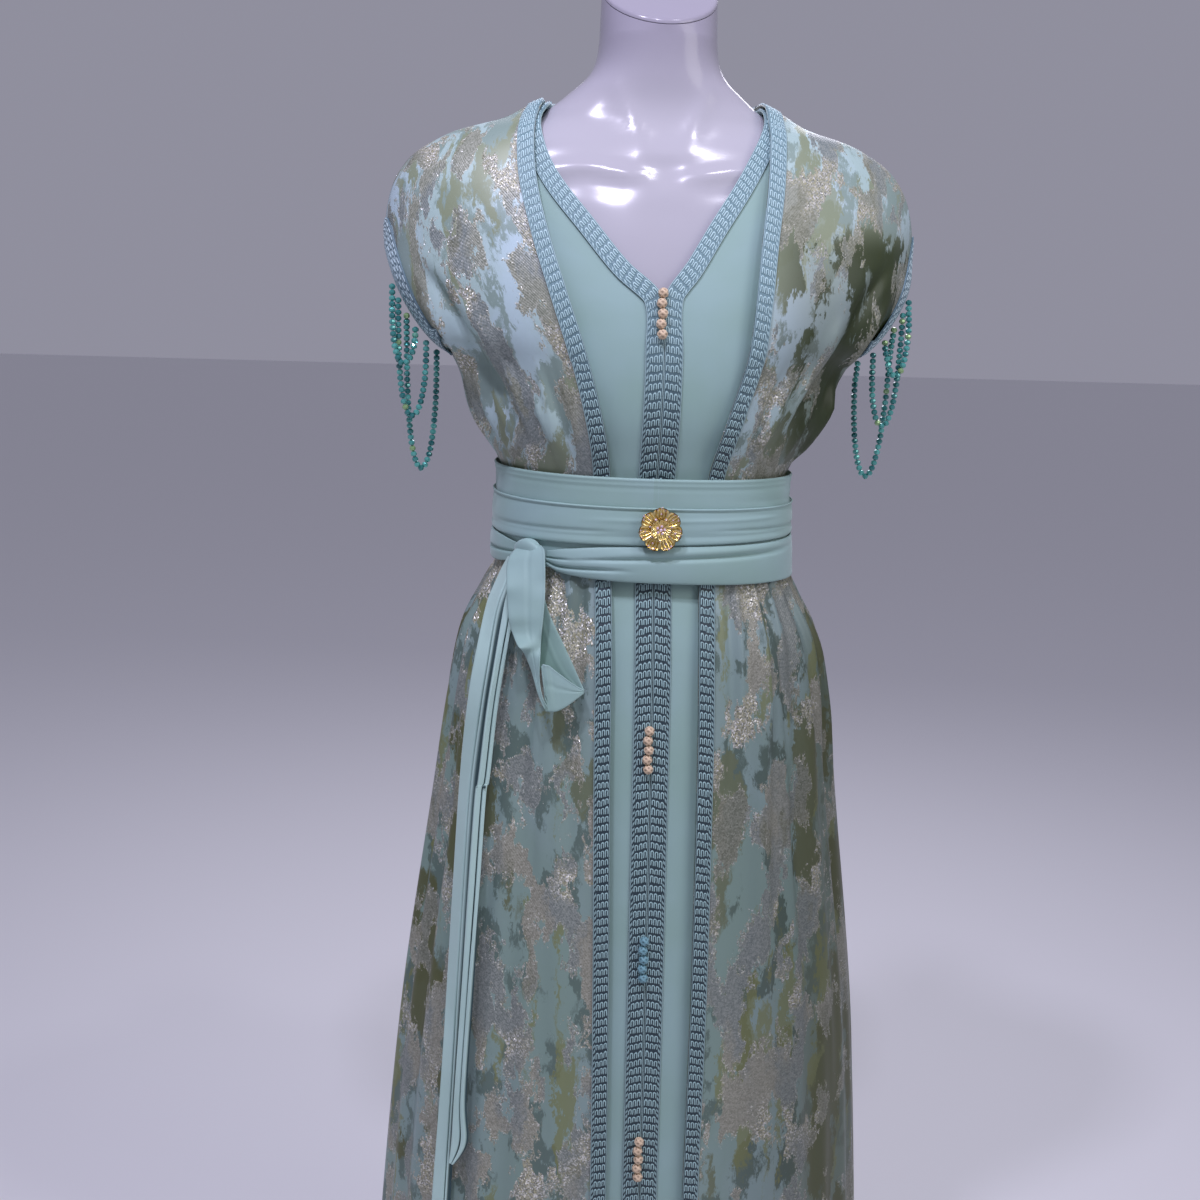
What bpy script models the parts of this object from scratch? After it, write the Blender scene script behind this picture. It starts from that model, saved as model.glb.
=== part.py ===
"""A moroccan kaftan of two layers with its sash, on a limbless dress form.

The inner dress is plain, with a V neck. The robe over it is open in front and
has cap sleeves cut in one with the body. Every layer is a thin wall on level
sections of its own. Z is up, the front faces -Y, and the origin is on the floor.
"""

import math

import bmesh
import bpy
from mathutils import Matrix, Vector
from mathutils.bvhtree import BVHTree

# Walls and gaps
GAP = 0.0003
SEAM = 0.0009
ROBE_WALL = 0.0015
DRESS_WALL = 0.0012
BRAID_WALL = 0.0012
BRAID_LIFT = 0.0006
SASH_WALL = 0.0013

# Widths of the trims
ROBE_BRAID = 0.015
DRESS_BRAID = 0.0165
CUFF_BRAID = 0.017

# How square a level section is: 2 is an ellipse
SQUARENESS = 2.3

# Height of the underarm
UNDERARM = 1.240

# One row for each level section: height, half width, depth in front, depth behind
ROBE_LEVELS = (
    (0.0200, 0.2660, 0.2120, 0.1990),
    (0.3400, 0.2470, 0.1930, 0.1830),
    (0.6000, 0.2260, 0.1770, 0.1670),
    (0.8200, 0.1970, 0.1570, 0.1480),
    (0.9200, 0.1835, 0.1470, 0.1370),
    (0.9800, 0.1710, 0.1390, 0.1260),
    (1.0200, 0.1530, 0.1290, 0.1100),
    (1.0450, 0.1410, 0.1225, 0.1000),
    (1.0900, 0.1395, 0.1215, 0.0990),
    (1.1380, 0.1398, 0.1215, 0.0995),
    (1.1650, 0.1560, 0.1310, 0.1060),
    (1.1900, 0.1690, 0.1365, 0.1120),
    (1.2400, 0.1875, 0.1385, 0.1190),
    (1.2544, 0.2118, 0.1375, 0.1210),
    (1.2790, 0.2337, 0.1345, 0.1240),
    (1.3090, 0.2483, 0.1285, 0.1265),
    (1.3400, 0.2495, 0.1195, 0.1265),
    (1.3620, 0.2497, 0.1120, 0.1245),
    (1.3860, 0.2455, 0.1020, 0.1205),
    (1.4030, 0.2385, 0.0940, 0.1160),
    (1.4205, 0.2250, 0.0855, 0.1090),
    (1.4340, 0.2050, 0.0790, 0.1015),
    (1.4430, 0.1850, 0.0750, 0.0960),
    (1.4544, 0.1450, 0.0695, 0.0880),
    (1.4673, 0.1200, 0.0645, 0.0790),
    (1.4758, 0.1000, 0.0615, 0.0730),
    (1.4823, 0.0880, 0.0600, 0.0690),
)
DRESS_LEVELS = (
    (0.0170, 0.2500, 0.2050, 0.1880),
    (0.3400, 0.2340, 0.1870, 0.1720),
    (0.6000, 0.2140, 0.1710, 0.1560),
    (0.8200, 0.1860, 0.1510, 0.1380),
    (0.9200, 0.1730, 0.1410, 0.1270),
    (0.9800, 0.1610, 0.1330, 0.1170),
    (1.0200, 0.1460, 0.1235, 0.1035),
    (1.0450, 0.1355, 0.1170, 0.0945),
    (1.0900, 0.1340, 0.1160, 0.0935),
    (1.1380, 0.1345, 0.1160, 0.0940),
    (1.1900, 0.1500, 0.1300, 0.1040),
    (1.2400, 0.1630, 0.1325, 0.1110),
    (1.2790, 0.1700, 0.1290, 0.1155),
    (1.3090, 0.1740, 0.1230, 0.1175),
    (1.3400, 0.1800, 0.1140, 0.1175),
    (1.3620, 0.1860, 0.1065, 0.1155),
    (1.3860, 0.1910, 0.0965, 0.1115),
    (1.4030, 0.1925, 0.0885, 0.1070),
    (1.4205, 0.1905, 0.0800, 0.1000),
    (1.4360, 0.1800, 0.0730, 0.0925),
    (1.4490, 0.1430, 0.0670, 0.0840),
    (1.4620, 0.1180, 0.0620, 0.0750),
    (1.4715, 0.0980, 0.0590, 0.0690),
    (1.4830, 0.0830, 0.0570, 0.0650),
    (1.4900, 0.0780, 0.0565, 0.0625),
)
FORM_LEVELS = (
    (0.8000, 0.1500, 0.1150, 0.1150),
    (0.8800, 0.1550, 0.1180, 0.1150),
    (0.9500, 0.1490, 0.1165, 0.1060),
    (1.0200, 0.1360, 0.1110, 0.0940),
    (1.0900, 0.1285, 0.1105, 0.0880),
    (1.1500, 0.1310, 0.1120, 0.0900),
    (1.2000, 0.1430, 0.1230, 0.1000),
    (1.2500, 0.1580, 0.1270, 0.1065),
    (1.3000, 0.1640, 0.1200, 0.1105),
    (1.3400, 0.1690, 0.1090, 0.1105),
    (1.3750, 0.1770, 0.0960, 0.1070),
    (1.4000, 0.1810, 0.0850, 0.1010),
    (1.4200, 0.1790, 0.0755, 0.0935),
    (1.4310, 0.1690, 0.0695, 0.0870),
    (1.4400, 0.1440, 0.0645, 0.0805),
    (1.4530, 0.1155, 0.0590, 0.0725),
    (1.4630, 0.1040, 0.0560, 0.0672),
    (1.4700, 0.0940, 0.0547, 0.0625),
    (1.4760, 0.0865, 0.0541, 0.0604),
    (1.4840, 0.0770, 0.0537, 0.0592),
    (1.4920, 0.0675, 0.0534, 0.0578),
    (1.5020, 0.0602, 0.0528, 0.0562),
    (1.5140, 0.0562, 0.0524, 0.0552),
    (1.5300, 0.0542, 0.0523, 0.0545),
)

# Front edge of the robe: height, distance from the middle on the left and right
ROBE_EDGE = (
    (0.020, 0.0340, 0.0370),
    (0.480, 0.0350, 0.0385),
    (0.680, 0.0370, 0.0405),
    (0.890, 0.0400, 0.0405),
    (1.025, 0.0405, 0.0395),
    (1.140, 0.0447, 0.0447),
    (1.193, 0.0550, 0.0575),
    (1.245, 0.0695, 0.0725),
    (1.295, 0.0865, 0.0785),
    (1.348, 0.1035, 0.0840),
    (1.396, 0.1145, 0.0910),
    (1.433, 0.1165, 0.0950),
    (1.457, 0.1130, 0.0965),
    (1.476, 0.1040, 0.0970),
)
# Front and neck edge of the inner dress, in the same way
DRESS_EDGE = (
    (0.017, 0.0025, -0.0020),
    (1.200, 0.0025, -0.0020),
    (1.250, 0.0025, -0.0020),
    (1.300, 0.0060, -0.0020),
    (1.327, 0.0350, 0.0165),
    (1.361, 0.0630, 0.0375),
    (1.400, 0.0935, 0.0635),
    (1.430, 0.1070, 0.0810),
    (1.455, 0.1090, 0.0935),
    (1.4715, 0.0985, 0.0960),
)
NECK_DROP_ROBE = 1.4690
NECK_DROP_DRESS = 1.4840

# Heights of the level rows of each layer, below the underarm
ROBE_ROWS = (
    0.020, 0.180, 0.340, 0.500, 0.660, 0.800, 0.900, 0.970, 1.015, 1.045,
    1.090, 1.138, 1.158, 1.185, 1.212, 1.240,
)
DRESS_ROWS = (
    0.017, 0.340, 0.660, 0.900, 0.970, 1.015, 1.045, 1.090, 1.138, 1.158, 1.185, 1.240,
)
# Shares of the way from the underarm to the shoulder
ROBE_RISE = (0.13, 0.26, 0.39, 0.52, 0.64, 0.75, 0.85, 0.94, 1.0)
DRESS_RISE = (0.167, 0.28, 0.40, 0.53, 0.67, 0.82, 0.94, 1.0)

ROBE_FRONT_COLUMNS = 17
ROBE_BACK_COLUMNS = 25
ROBE_NECK_COLUMNS = 5
DRESS_FRONT_COLUMNS = 8
DRESS_BACK_COLUMNS = 15
DRESS_NECK_COLUMNS = 3
TIP_HEIGHT = 1.340
DRESS_SHOULDER = 1.432

# Folds of the robe's skirt: share of the way from the front edge to the side
# seam (or from seam to seam at the back), depth, width as a share, highest point
FRONT_FOLDS = (
    (0.20, 0.0040, 0.050, 1.030),
    (0.33, 0.0055, 0.055, 1.030),
    (0.47, 0.0050, 0.055, 1.025),
    (0.61, 0.0065, 0.060, 1.025),
    (0.75, 0.0055, 0.055, 1.020),
    (0.88, 0.0060, 0.055, 1.020),
)
BACK_FOLDS = (
    (0.10, 0.0060, 0.035, 1.020),
    (0.22, 0.0070, 0.040, 1.030),
    (0.35, 0.0060, 0.040, 1.030),
    (0.50, 0.0080, 0.045, 1.030),
    (0.65, 0.0060, 0.040, 1.030),
    (0.78, 0.0070, 0.040, 1.030),
    (0.90, 0.0060, 0.035, 1.020),
)
FOLD_GROWTH = 0.9

# Sash: height, fall from left to right for each metre, distance from the robe
SASH_SIDES = 40
SASH_UPPER = (
    (1.0500, -0.0300, 0.0040),
    (1.0785, 0.0120, 0.0041),
    (1.0960, 0.0000, 0.0044),
    (1.1125, -0.0120, 0.0048),
    (1.1385, -0.0115, 0.0041),
)
SASH_MIDDLE = (
    (1.0785, 0.0120, 0.0060),
    (1.0960, 0.0000, 0.0072),
    (1.1125, -0.0120, 0.0067),
)
# Tie round the sash: turn from the front in degrees, top, bottom, fullness
TIE_TURNS = (
    (-40.5, 1.0680, 1.0560, 0.0000),
    (-34.0, 1.0710, 1.0500, 0.0022),
    (-18.0, 1.0755, 1.0460, 0.0035),
    (0.0, 1.0772, 1.0438, 0.0035),
    (40.0, 1.0780, 1.0405, 0.0030),
    (90.0, 1.0788, 1.0385, 0.0025),
    (180.0, 1.0772, 1.0420, 0.0025),
    (262.0, 1.0755, 1.0465, 0.0025),
    (288.0, 1.0750, 1.0495, 0.0020),
    (303.5, 1.0710, 1.0560, 0.0000),
)
TIE_STAND = 0.0066
TIE_WALL = 0.0016
TIE_STEPS = 38
TIE_PROFILE = ((0.0, 0.0), (0.30, 0.6), (0.68, 1.0), (1.0, 0.0))
# Knot: turn from the front in degrees, height, its three half sizes
KNOT_TURN = -48.0
KNOT_HEIGHT = 1.0650
KNOT_SIZE = (0.0178, 0.0066, 0.0122)
KNOT_STAND = 0.0108
# Bow loop: left and right ends of each line across it, and how far it stands
# forward of the robe
BOW_LINES = (
    (-0.1220, 1.0784, -0.1060, 1.0790, 0.0114),
    (-0.1290, 1.0735, -0.1035, 1.0750, 0.0186),
    (-0.1345, 1.0610, -0.1026, 1.0640, 0.0210),
    (-0.1372, 1.0430, -0.1024, 1.0460, 0.0252),
    (-0.1355, 1.0180, -0.1022, 1.0220, 0.0258),
    (-0.1252, 0.9850, -0.1040, 0.9880, 0.0245),
    (-0.1134, 0.9562, -0.1045, 0.9740, 0.0240),
    (-0.1030, 0.9320, -0.1020, 0.9690, 0.0235),
    (-0.0950, 0.9222, -0.0965, 0.9655, 0.0230),
    (-0.0840, 0.9225, -0.0870, 0.9605, 0.0215),
    (-0.0740, 0.9300, -0.0765, 0.9545, 0.0190),
    (-0.0665, 0.9375, -0.0665, 0.9470, 0.0150),
    (-0.0700, 0.9330, -0.0640, 0.9440, 0.0110),
    (-0.0860, 0.9420, -0.0668, 0.9510, 0.0085),
    (-0.1000, 0.9600, -0.0725, 0.9660, 0.0075),
    (-0.1080, 0.9850, -0.0815, 0.9860, 0.0075),
    (-0.1140, 1.0100, -0.0920, 1.0080, 0.0085),
    (-0.1180, 1.0330, -0.0985, 1.0250, 0.0130),
)
# Tails: height, left edge, right edge, distance forward of the robe
TAIL_LONG = (
    (1.0572, -0.1330, -0.1252, 0.0092),
    (1.0350, -0.1430, -0.1310, 0.0120),
    (1.0100, -0.1520, -0.1390, 0.0115),
    (0.9650, -0.1600, -0.1465, 0.0100),
    (0.9200, -0.1665, -0.1530, 0.0100),
    (0.8450, -0.1765, -0.1620, 0.0100),
    (0.7500, -0.1815, -0.1675, 0.0100),
    (0.6500, -0.1865, -0.1725, 0.0100),
    (0.5530, -0.1920, -0.1770, 0.0100),
    (0.4250, -0.2000, -0.1830, 0.0100),
    (0.3000, -0.2060, -0.1880, 0.0100),
    (0.2700, -0.1960, -0.1900, 0.0100),
)
TAIL_SHORT = (
    (1.0566, -0.1215, -0.1115, 0.0142),
    (1.0380, -0.1320, -0.1205, 0.0178),
    (1.0180, -0.1380, -0.1260, 0.0165),
    (0.9650, -0.1470, -0.1350, 0.0165),
    (0.9200, -0.1530, -0.1410, 0.0165),
    (0.8450, -0.1620, -0.1490, 0.0165),
    (0.7500, -0.1680, -0.1550, 0.0165),
    (0.6500, -0.1735, -0.1610, 0.0165),
    (0.5530, -0.1790, -0.1655, 0.0165),
    (0.5100, -0.1810, -0.1660, 0.0165),
    (0.4860, -0.1830, -0.1780, 0.0165),
)
FACING_LEAST = 0.40
EDGE_STEPS = 60
EDGE_STEP = 0.0005
TAIL_PLEATS = ((0.0, 0.0), (0.42, 0.0022), (0.55, 0.0), (1.0, 0.0016))

# Knot buttons in groups of five down the middle: height of the middle one
BUTTON_GROUPS = (
    ("buttons_neck", 1.2837, "peach_knots"),
    ("buttons_hip", 0.8930, "peach_knots"),
    ("buttons_thigh", 0.6965, "aqua_braid"),
    ("buttons_knee", 0.5010, "peach_knots"),
)
BUTTON_X = -0.0055
BUTTON_RADIUS = 0.0048
BUTTON_NECK = 0.0026
BUTTON_PITCH = 0.0088
BUTTONS_IN_GROUP = 5
BUTTON_FLAT = 0.80
BUTTON_CLEAR = 0.0005

# Flower brooch
BROOCH_HEIGHT = 1.0943
BROOCH_RADIUS = 0.0195
BROOCH_PETALS = 7
BROOCH_STAND = 0.0079
# Rings of the brooch: share of the radius, how far it stands out, petal depth
BROOCH_RINGS = (
    (0.94, 0.0000, 0.10),
    (1.00, 0.0030, 0.12),
    (0.62, 0.0062, 0.05),
    (0.34, 0.0052, 0.00),
    (0.18, 0.0082, 0.00),
)

# Bead strands: where each loop leaves and joins the edge strip, its lowest
# height, and how far its middle stands forward
BEAD_RADIUS = 0.0028
BEAD_STRIP_RADIUS = 0.0012
BEAD_STRIP_OFF = 0.0038
BEAD_LOOPS = (
    (0.04, 0.60, 1.2330, 0.0075),
    (0.22, 0.80, 1.1850, 0.0000),
    (0.42, 0.98, 1.1350, -0.0075),
)
BEAD_DROP = 0.0012
BEAD_POINTS = 11
BEAD_TOP_ROW = 6
BEAD_BOTTOM_ROW = 1

# Dress form
FORM_SIDES = 28
NECK_TOP = 1.5690
NECK_RADIUS = (0.0535, 0.0525)
NECK_SLANT = 0.64
CAP_HEIGHT = 0.005
POLE_RADIUS = 0.0125
BASE_RADIUS = 0.170
BASE_HEIGHT = 0.014
BASE_BEVEL = 0.004

# Colours: base colour, roughness, metallic
FINISHES = {
    "aqua_crepe": ((0.36, 0.55, 0.56), 0.55, 0.0),
    "aqua_brocade": ((0.42, 0.54, 0.52), 0.42, 0.1),
    "aqua_braid": ((0.33, 0.52, 0.57), 0.50, 0.0),
    "peach_knots": ((0.78, 0.55, 0.38), 0.45, 0.2),
    "teal_beads": ((0.05, 0.45, 0.42), 0.15, 0.0),
    "gold_metal": ((0.80, 0.60, 0.22), 0.25, 1.0),
    "white_gloss": ((0.82, 0.80, 0.85), 0.12, 0.0),
    "steel": ((0.60, 0.60, 0.62), 0.30, 1.0),
}


def collection(name):
    """A collection linked to the scene."""
    found = bpy.data.collections.new(name)
    bpy.context.scene.collection.children.link(found)
    return found


def finish(name):
    """The Principled material of a finish."""
    made = bpy.data.materials.get(name)
    if made is None:
        colour, roughness, metallic = FINISHES[name]
        made = bpy.data.materials.new(name)
        made.use_nodes = True
        shader = made.node_tree.nodes["Principled BSDF"]
        shader.inputs["Base Color"].default_value = (*colour, 1.0)
        shader.inputs["Roughness"].default_value = roughness
        shader.inputs["Metallic"].default_value = metallic
    return made


def add_object(name, mesh, material, place):
    """A named object for one piece."""
    piece = bpy.data.objects.new(name, mesh)
    place.objects.link(piece)
    mesh.materials.append(finish(material))
    return piece


def mix(low, high, share):
    """The value a share of the way from low to high."""
    return low + (high - low) * share


def smooth(share):
    """A share of 0 to 1 eased at both ends."""
    share = min(1.0, max(0.0, share))
    return share * share * (3.0 - 2.0 * share)


def read_table(table, height):
    """The columns of a table at a height, on smooth curves through its rows."""
    last = len(table) - 1
    height = min(max(height, table[0][0]), table[last][0])
    i = 0
    while i < last - 1 and table[i + 1][0] < height:
        i += 1
    low, high = table[i], table[i + 1]
    before, after = table[max(i - 1, 0)], table[min(i + 2, last)]
    span = high[0] - low[0]
    t = (height - low[0]) / span
    values = []
    for k in range(1, len(low)):
        slope_low = (high[k] - before[k]) / (high[0] - before[0]) * span
        slope_high = (after[k] - low[k]) / (after[0] - low[0]) * span
        values.append(
            low[k] * (2 * t**3 - 3 * t**2 + 1)
            + slope_low * (t**3 - 2 * t**2 + t)
            + high[k] * (3 * t**2 - 2 * t**3)
            + slope_high * (t**3 - t**2)
        )
    return values


def skin_point(levels, x, height, facing):
    """The point of a layer at a place seen from the front (-1) or the back (1)."""
    half, front, back = read_table(levels, height)
    depth = front if facing < 0 else back
    part = min(1.0, abs(x) / half)
    y = facing * depth * (1.0 - part**SQUARENESS) ** (1.0 / SQUARENESS)
    return Vector((x, y, height))


def ring_point(levels, angle, height, facing, grow=0.0):
    """The point of a level section at an angle from the middle, 90 at a side."""
    half, front, back = read_table(levels, height)
    depth = front if facing < 0 else back
    power = 2.0 / SQUARENESS
    across = math.copysign(abs(math.sin(angle)) ** power, math.sin(angle))
    along = max(0.0, math.cos(angle)) ** power
    x = (half + grow) * across
    y = facing * (depth + grow) * along
    return Vector((x, y, height))


def height_at(levels, reach, low, high):
    """The height where a layer's shoulder line is at a distance from the middle."""
    for _ in range(40):
        middle = 0.5 * (low + high)
        if read_table(levels, middle)[0] > reach:
            low = middle
        else:
            high = middle
    return 0.5 * (low + high)


def shoulder_line(levels, reach, tip):
    """A function from 0 at the neck to 1 at the tip, along the shoulder line."""
    steps = 40
    top = height_at(levels, reach, tip, levels[-1][0])
    points = []
    for i in range(steps + 1):
        height = mix(top, tip, i / steps)
        points.append(Vector((read_table(levels, height)[0], 0.0, height)))
    lengths = [0.0]
    for a, b in zip(points, points[1:]):
        lengths.append(lengths[-1] + (b - a).length)

    def at(share):
        want = share * lengths[-1]
        i = 0
        while i < steps - 1 and lengths[i + 1] < want:
            i += 1
        part = (want - lengths[i]) / (lengths[i + 1] - lengths[i])
        return points[i].lerp(points[i + 1], part)

    return at, lengths[-1]


def fold_depth(folds, share, height):
    """How far a fold stands out at a share of a panel's width."""
    total = 0.0
    for place, depth, width, top in folds:
        drop = max(0.0, top - height)
        rise = smooth(drop / 0.06) * (1.0 + FOLD_GROWTH * drop)
        total += depth * rise * math.exp(-(((share - place) / width) ** 2))
    return total


def swell(point, depth):
    """A point moved straight away from the upright axis."""
    flat = Vector((point.x, point.y, 0.0))
    return point + flat.normalized() * depth


def seam_shift(point, facing):
    """A point at a side or shoulder seam, kept clear of the panel across it."""
    if abs(point.y) < 0.5 * SEAM:
        point.y = 0.5 * SEAM * facing
    return point


def beside(path, i, width):
    """The point beside a path in the plane of X and Z, on the side away from -X."""
    before = path[max(i - 1, 0)]
    after = path[min(i + 1, len(path) - 1)]
    run = (after[0] - before[0], after[1] - before[1])
    length = math.hypot(*run)
    return (path[i][0] + run[1] / length * width, path[i][1] - run[0] / length * width)


def front_panel(levels, rows, rise, edge, column, braid, columns, tip, cuff, folds):
    """The grid of a front panel: rows of points, edge to side, for x above zero.

    Column 0 is the front edge and column 1 the inner line of its braid. The last
    column is the side seam and the armhole, and the one before it the inner line
    of the cuff braid.
    """
    last = columns - 1
    shares = [0.0, 0.0] + [(j - 1) / (last - 1) for j in range(2, last + 1)]
    grid = []
    for height in rows:
        start = read_table(edge, height)[column]
        half = read_table(levels, height)[0]
        inner = math.asin(((start + braid) / half) ** (SQUARENESS / 2.0))
        row = [skin_point(levels, start, height, -1)]
        for j in range(1, columns):
            angle = mix(inner, math.pi / 2.0, shares[j])
            point = ring_point(levels, angle, height, -1)
            point = swell(point, fold_depth(folds, shares[j], height))
            row.append(seam_shift(point, -1))
        grid.append(row)

    reach = edge[-1][1 + column]
    shoulder, length = shoulder_line(levels, reach, tip)
    base = grid[-1]
    top_z = shoulder(0.0).z
    edge_path = [(read_table(edge, z)[column], z) for z in rows[-2:]]
    for w in rise:
        z = mix(UNDERARM, top_z, math.sin(w * math.pi / 2.0))
        x = read_table(edge, z)[column] if w < 1.0 else reach
        edge_path.append((x, z))
    cuff_share = 1.0 - cuff / length
    tops = [0.0, braid / length]
    for j in range(2, last):
        tops.append(mix(braid / length, cuff_share, (j - 1) / (last - 2)))
    tops.append(1.0)
    for k, w in enumerate(rise):
        chest = (w, math.sin(w * math.pi / 2.0))
        arm = (0.5 * (w + math.sin(w * math.pi / 2.0)),
               0.5 * (w + 1.0 - math.cos(w * math.pi / 2.0)))
        plain = []
        for j in range(columns):
            part = (j / last) ** 2.5
            go_x, go_z = mix(chest[0], arm[0], part), mix(chest[1], arm[1], part)
            top = shoulder(tops[j])
            plain.append((mix(base[j].x, top.x, go_x), mix(base[j].z, top.z, go_z)))
        inner = beside(edge_path, k + 2, braid)
        inner = (inner[0], min(inner[1], plain[1][1]))
        if w == 1.0:
            inner = (shoulder(tops[1]).x, shoulder(tops[1]).z)
        off = (inner[0] - plain[1][0], inner[1] - plain[1][1])
        row = []
        for j in range(columns):
            if j == 0:
                x, z = edge_path[k + 2]
            else:
                fade = ((last - j) / (last - 1)) ** 2
                x, z = plain[j][0] + off[0] * fade, plain[j][1] + off[1] * fade
            if w == 1.0:
                point = shoulder(tops[j]).copy()
            else:
                point = skin_point(levels, x, z, -1)
            row.append(seam_shift(point, -1))
        grid.append(row)
    return grid


def back_panel(levels, rows, rise, columns, neck, tip, cuff, reaches, drop, folds):
    """The grid of a back panel, from the seam at -X to the seam at +X.

    The neckline has neck columns on each side of the middle one.
    """
    middle = (columns - 1) // 2
    grid = []
    for height in rows:
        row = []
        for j in range(columns):
            share = j / (columns - 1)
            angle = mix(-math.pi / 2.0, math.pi / 2.0, share)
            point = ring_point(levels, angle, height, 1)
            point = swell(point, fold_depth(folds, share, height))
            row.append(seam_shift(point, 1))
        grid.append(row)
    tops = []
    for j in range(columns):
        side = 1 if j > middle else 0
        away = abs(j - middle)
        sign = 1.0 if side else -1.0
        reach = reaches[side]
        shoulder, length = shoulder_line(levels, reach, tip)
        if away <= neck:
            turn = away / neck * math.pi / 2.0
            x = reach * math.sin(turn)
            z = mix(shoulder(0.0).z, drop, math.cos(turn) ** 2)
            tops.append(skin_point(levels, sign * x, z, 1))
        else:
            past = away - neck
            steps = middle - neck
            share = 1.0 if past == steps else past / (steps - 1) * (1.0 - cuff / length)
            top = shoulder(share)
            tops.append(Vector((sign * top.x, 0.0, top.z)))
    base = grid[-1]
    for w in rise:
        row = []
        for j in range(columns):
            away = abs(j - middle)
            flat = smooth((away - neck + 2) / 3.0)
            part = (away / middle) ** 2.5
            go_z = mix(w, math.sin(w * math.pi / 2.0), flat)
            go_z = mix(go_z, 0.5 * (w + 1.0 - math.cos(w * math.pi / 2.0)), part)
            go_x = mix(w, 0.5 * (w + math.sin(w * math.pi / 2.0)), part)
            x = mix(base[j].x, tops[j].x, go_x)
            z = mix(base[j].z, tops[j].z, go_z)
            point = tops[j].copy() if w == 1.0 else skin_point(levels, x, z, 1)
            row.append(seam_shift(point, 1))
        grid.append(row)
    return grid


def mirrored(grid):
    """A grid with its points mirrored in X."""
    return [[Vector((-p.x, p.y, p.z)) for p in row] for row in grid]


def grid_normals(grid, closed=False):
    """The outward directions of a grid's points."""
    rows, columns = len(grid), len(grid[0])
    normals = []
    for i in range(rows):
        line = []
        for j in range(columns):
            up = grid[min(i + 1, rows - 1)][j] - grid[max(i - 1, 0)][j]
            if closed:
                across = grid[i][(j + 1) % columns] - grid[i][j - 1]
            else:
                across = grid[i][min(j + 1, columns - 1)] - grid[i][max(j - 1, 0)]
            normal = across.cross(up).normalized()
            line.append(normal)
        normals.append(line)
    centre = grid[rows // 2][columns // 2]
    outward = normals[rows // 2][columns // 2].dot(Vector((centre.x, centre.y, 0.0)))
    if outward < 0:
        normals = [[-n for n in line] for line in normals]
    return normals


def lifted(grid, height, closed=False):
    """A grid moved outward by a height."""
    normals = grid_normals(grid, closed)
    return [
        [p + n * height for p, n in zip(row, line)] for row, line in zip(grid, normals)
    ]


def grid_mesh(name, grid, closed=False, turned=()):
    """An open mesh of a grid whose faces point away from the upright axis.

    In the turned columns each four-sided cell is split along its other diagonal, so
    that a piece made from some of a grid's points has the same facets.
    """
    form = bmesh.new()
    columns = len(grid[0])
    points = [[form.verts.new(p) for p in row] for row in grid]
    count = columns if closed else columns - 1
    for low, high in zip(points, points[1:]):
        for j in range(count):
            k = (j + 1) % columns
            cell = (low[j], low[k], high[k], high[j])
            form.faces.new(cell[1:] + cell[:1] if j in turned else cell)
    form.normal_update()
    out = grid_normals(grid, closed)[len(grid) // 2][columns // 2]
    middle = form.verts[:][len(grid) // 2 * columns + columns // 2]
    if middle.normal.dot(out) < 0:
        bmesh.ops.reverse_faces(form, faces=form.faces[:])
    bmesh.ops.triangulate(form, faces=form.faces[:], quad_method="FIXED")
    mesh = bpy.data.meshes.new(name)
    form.to_mesh(mesh)
    form.free()
    mesh.shade_smooth()
    return mesh


def cloth(name, grid, wall, material, place, closed=False, turned=()):
    """A piece of cloth: an outer face given by a grid, and a wall behind it."""
    mesh = grid_mesh(name, grid, closed, turned)
    piece = add_object(name, mesh, material, place)
    solid = piece.modifiers.new("wall", "SOLIDIFY")
    solid.thickness = wall
    solid.offset = -1.0
    return piece


def part_of(grid, rows, columns):
    """Some rows and columns of a grid."""
    return [[row[j] for j in columns] for row in grid[rows]]


def edge_braid(name, fronts, back, neck, place):
    """One braid up the left front edge, round the back neck and down the right."""
    lift = BRAID_LIFT + BRAID_WALL
    left, right = (part_of(lifted(g, lift), slice(0, None), (1, 0)) for g in fronts)
    middle = (len(back[0]) - 1) // 2
    columns = range(middle - neck, middle + neck + 1)
    behind = part_of(lifted(back, lift), slice(-2, None), columns)
    pairs = left + list(zip(*behind)) + right[::-1]
    turned = set(range(len(left))) | set(range(len(left) + neck, len(pairs) - len(right)))
    grid = [[pair[side] for pair in pairs] for side in (0, 1)]
    cloth(name, grid, BRAID_WALL, "aqua_braid", place, turned=turned)


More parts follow.
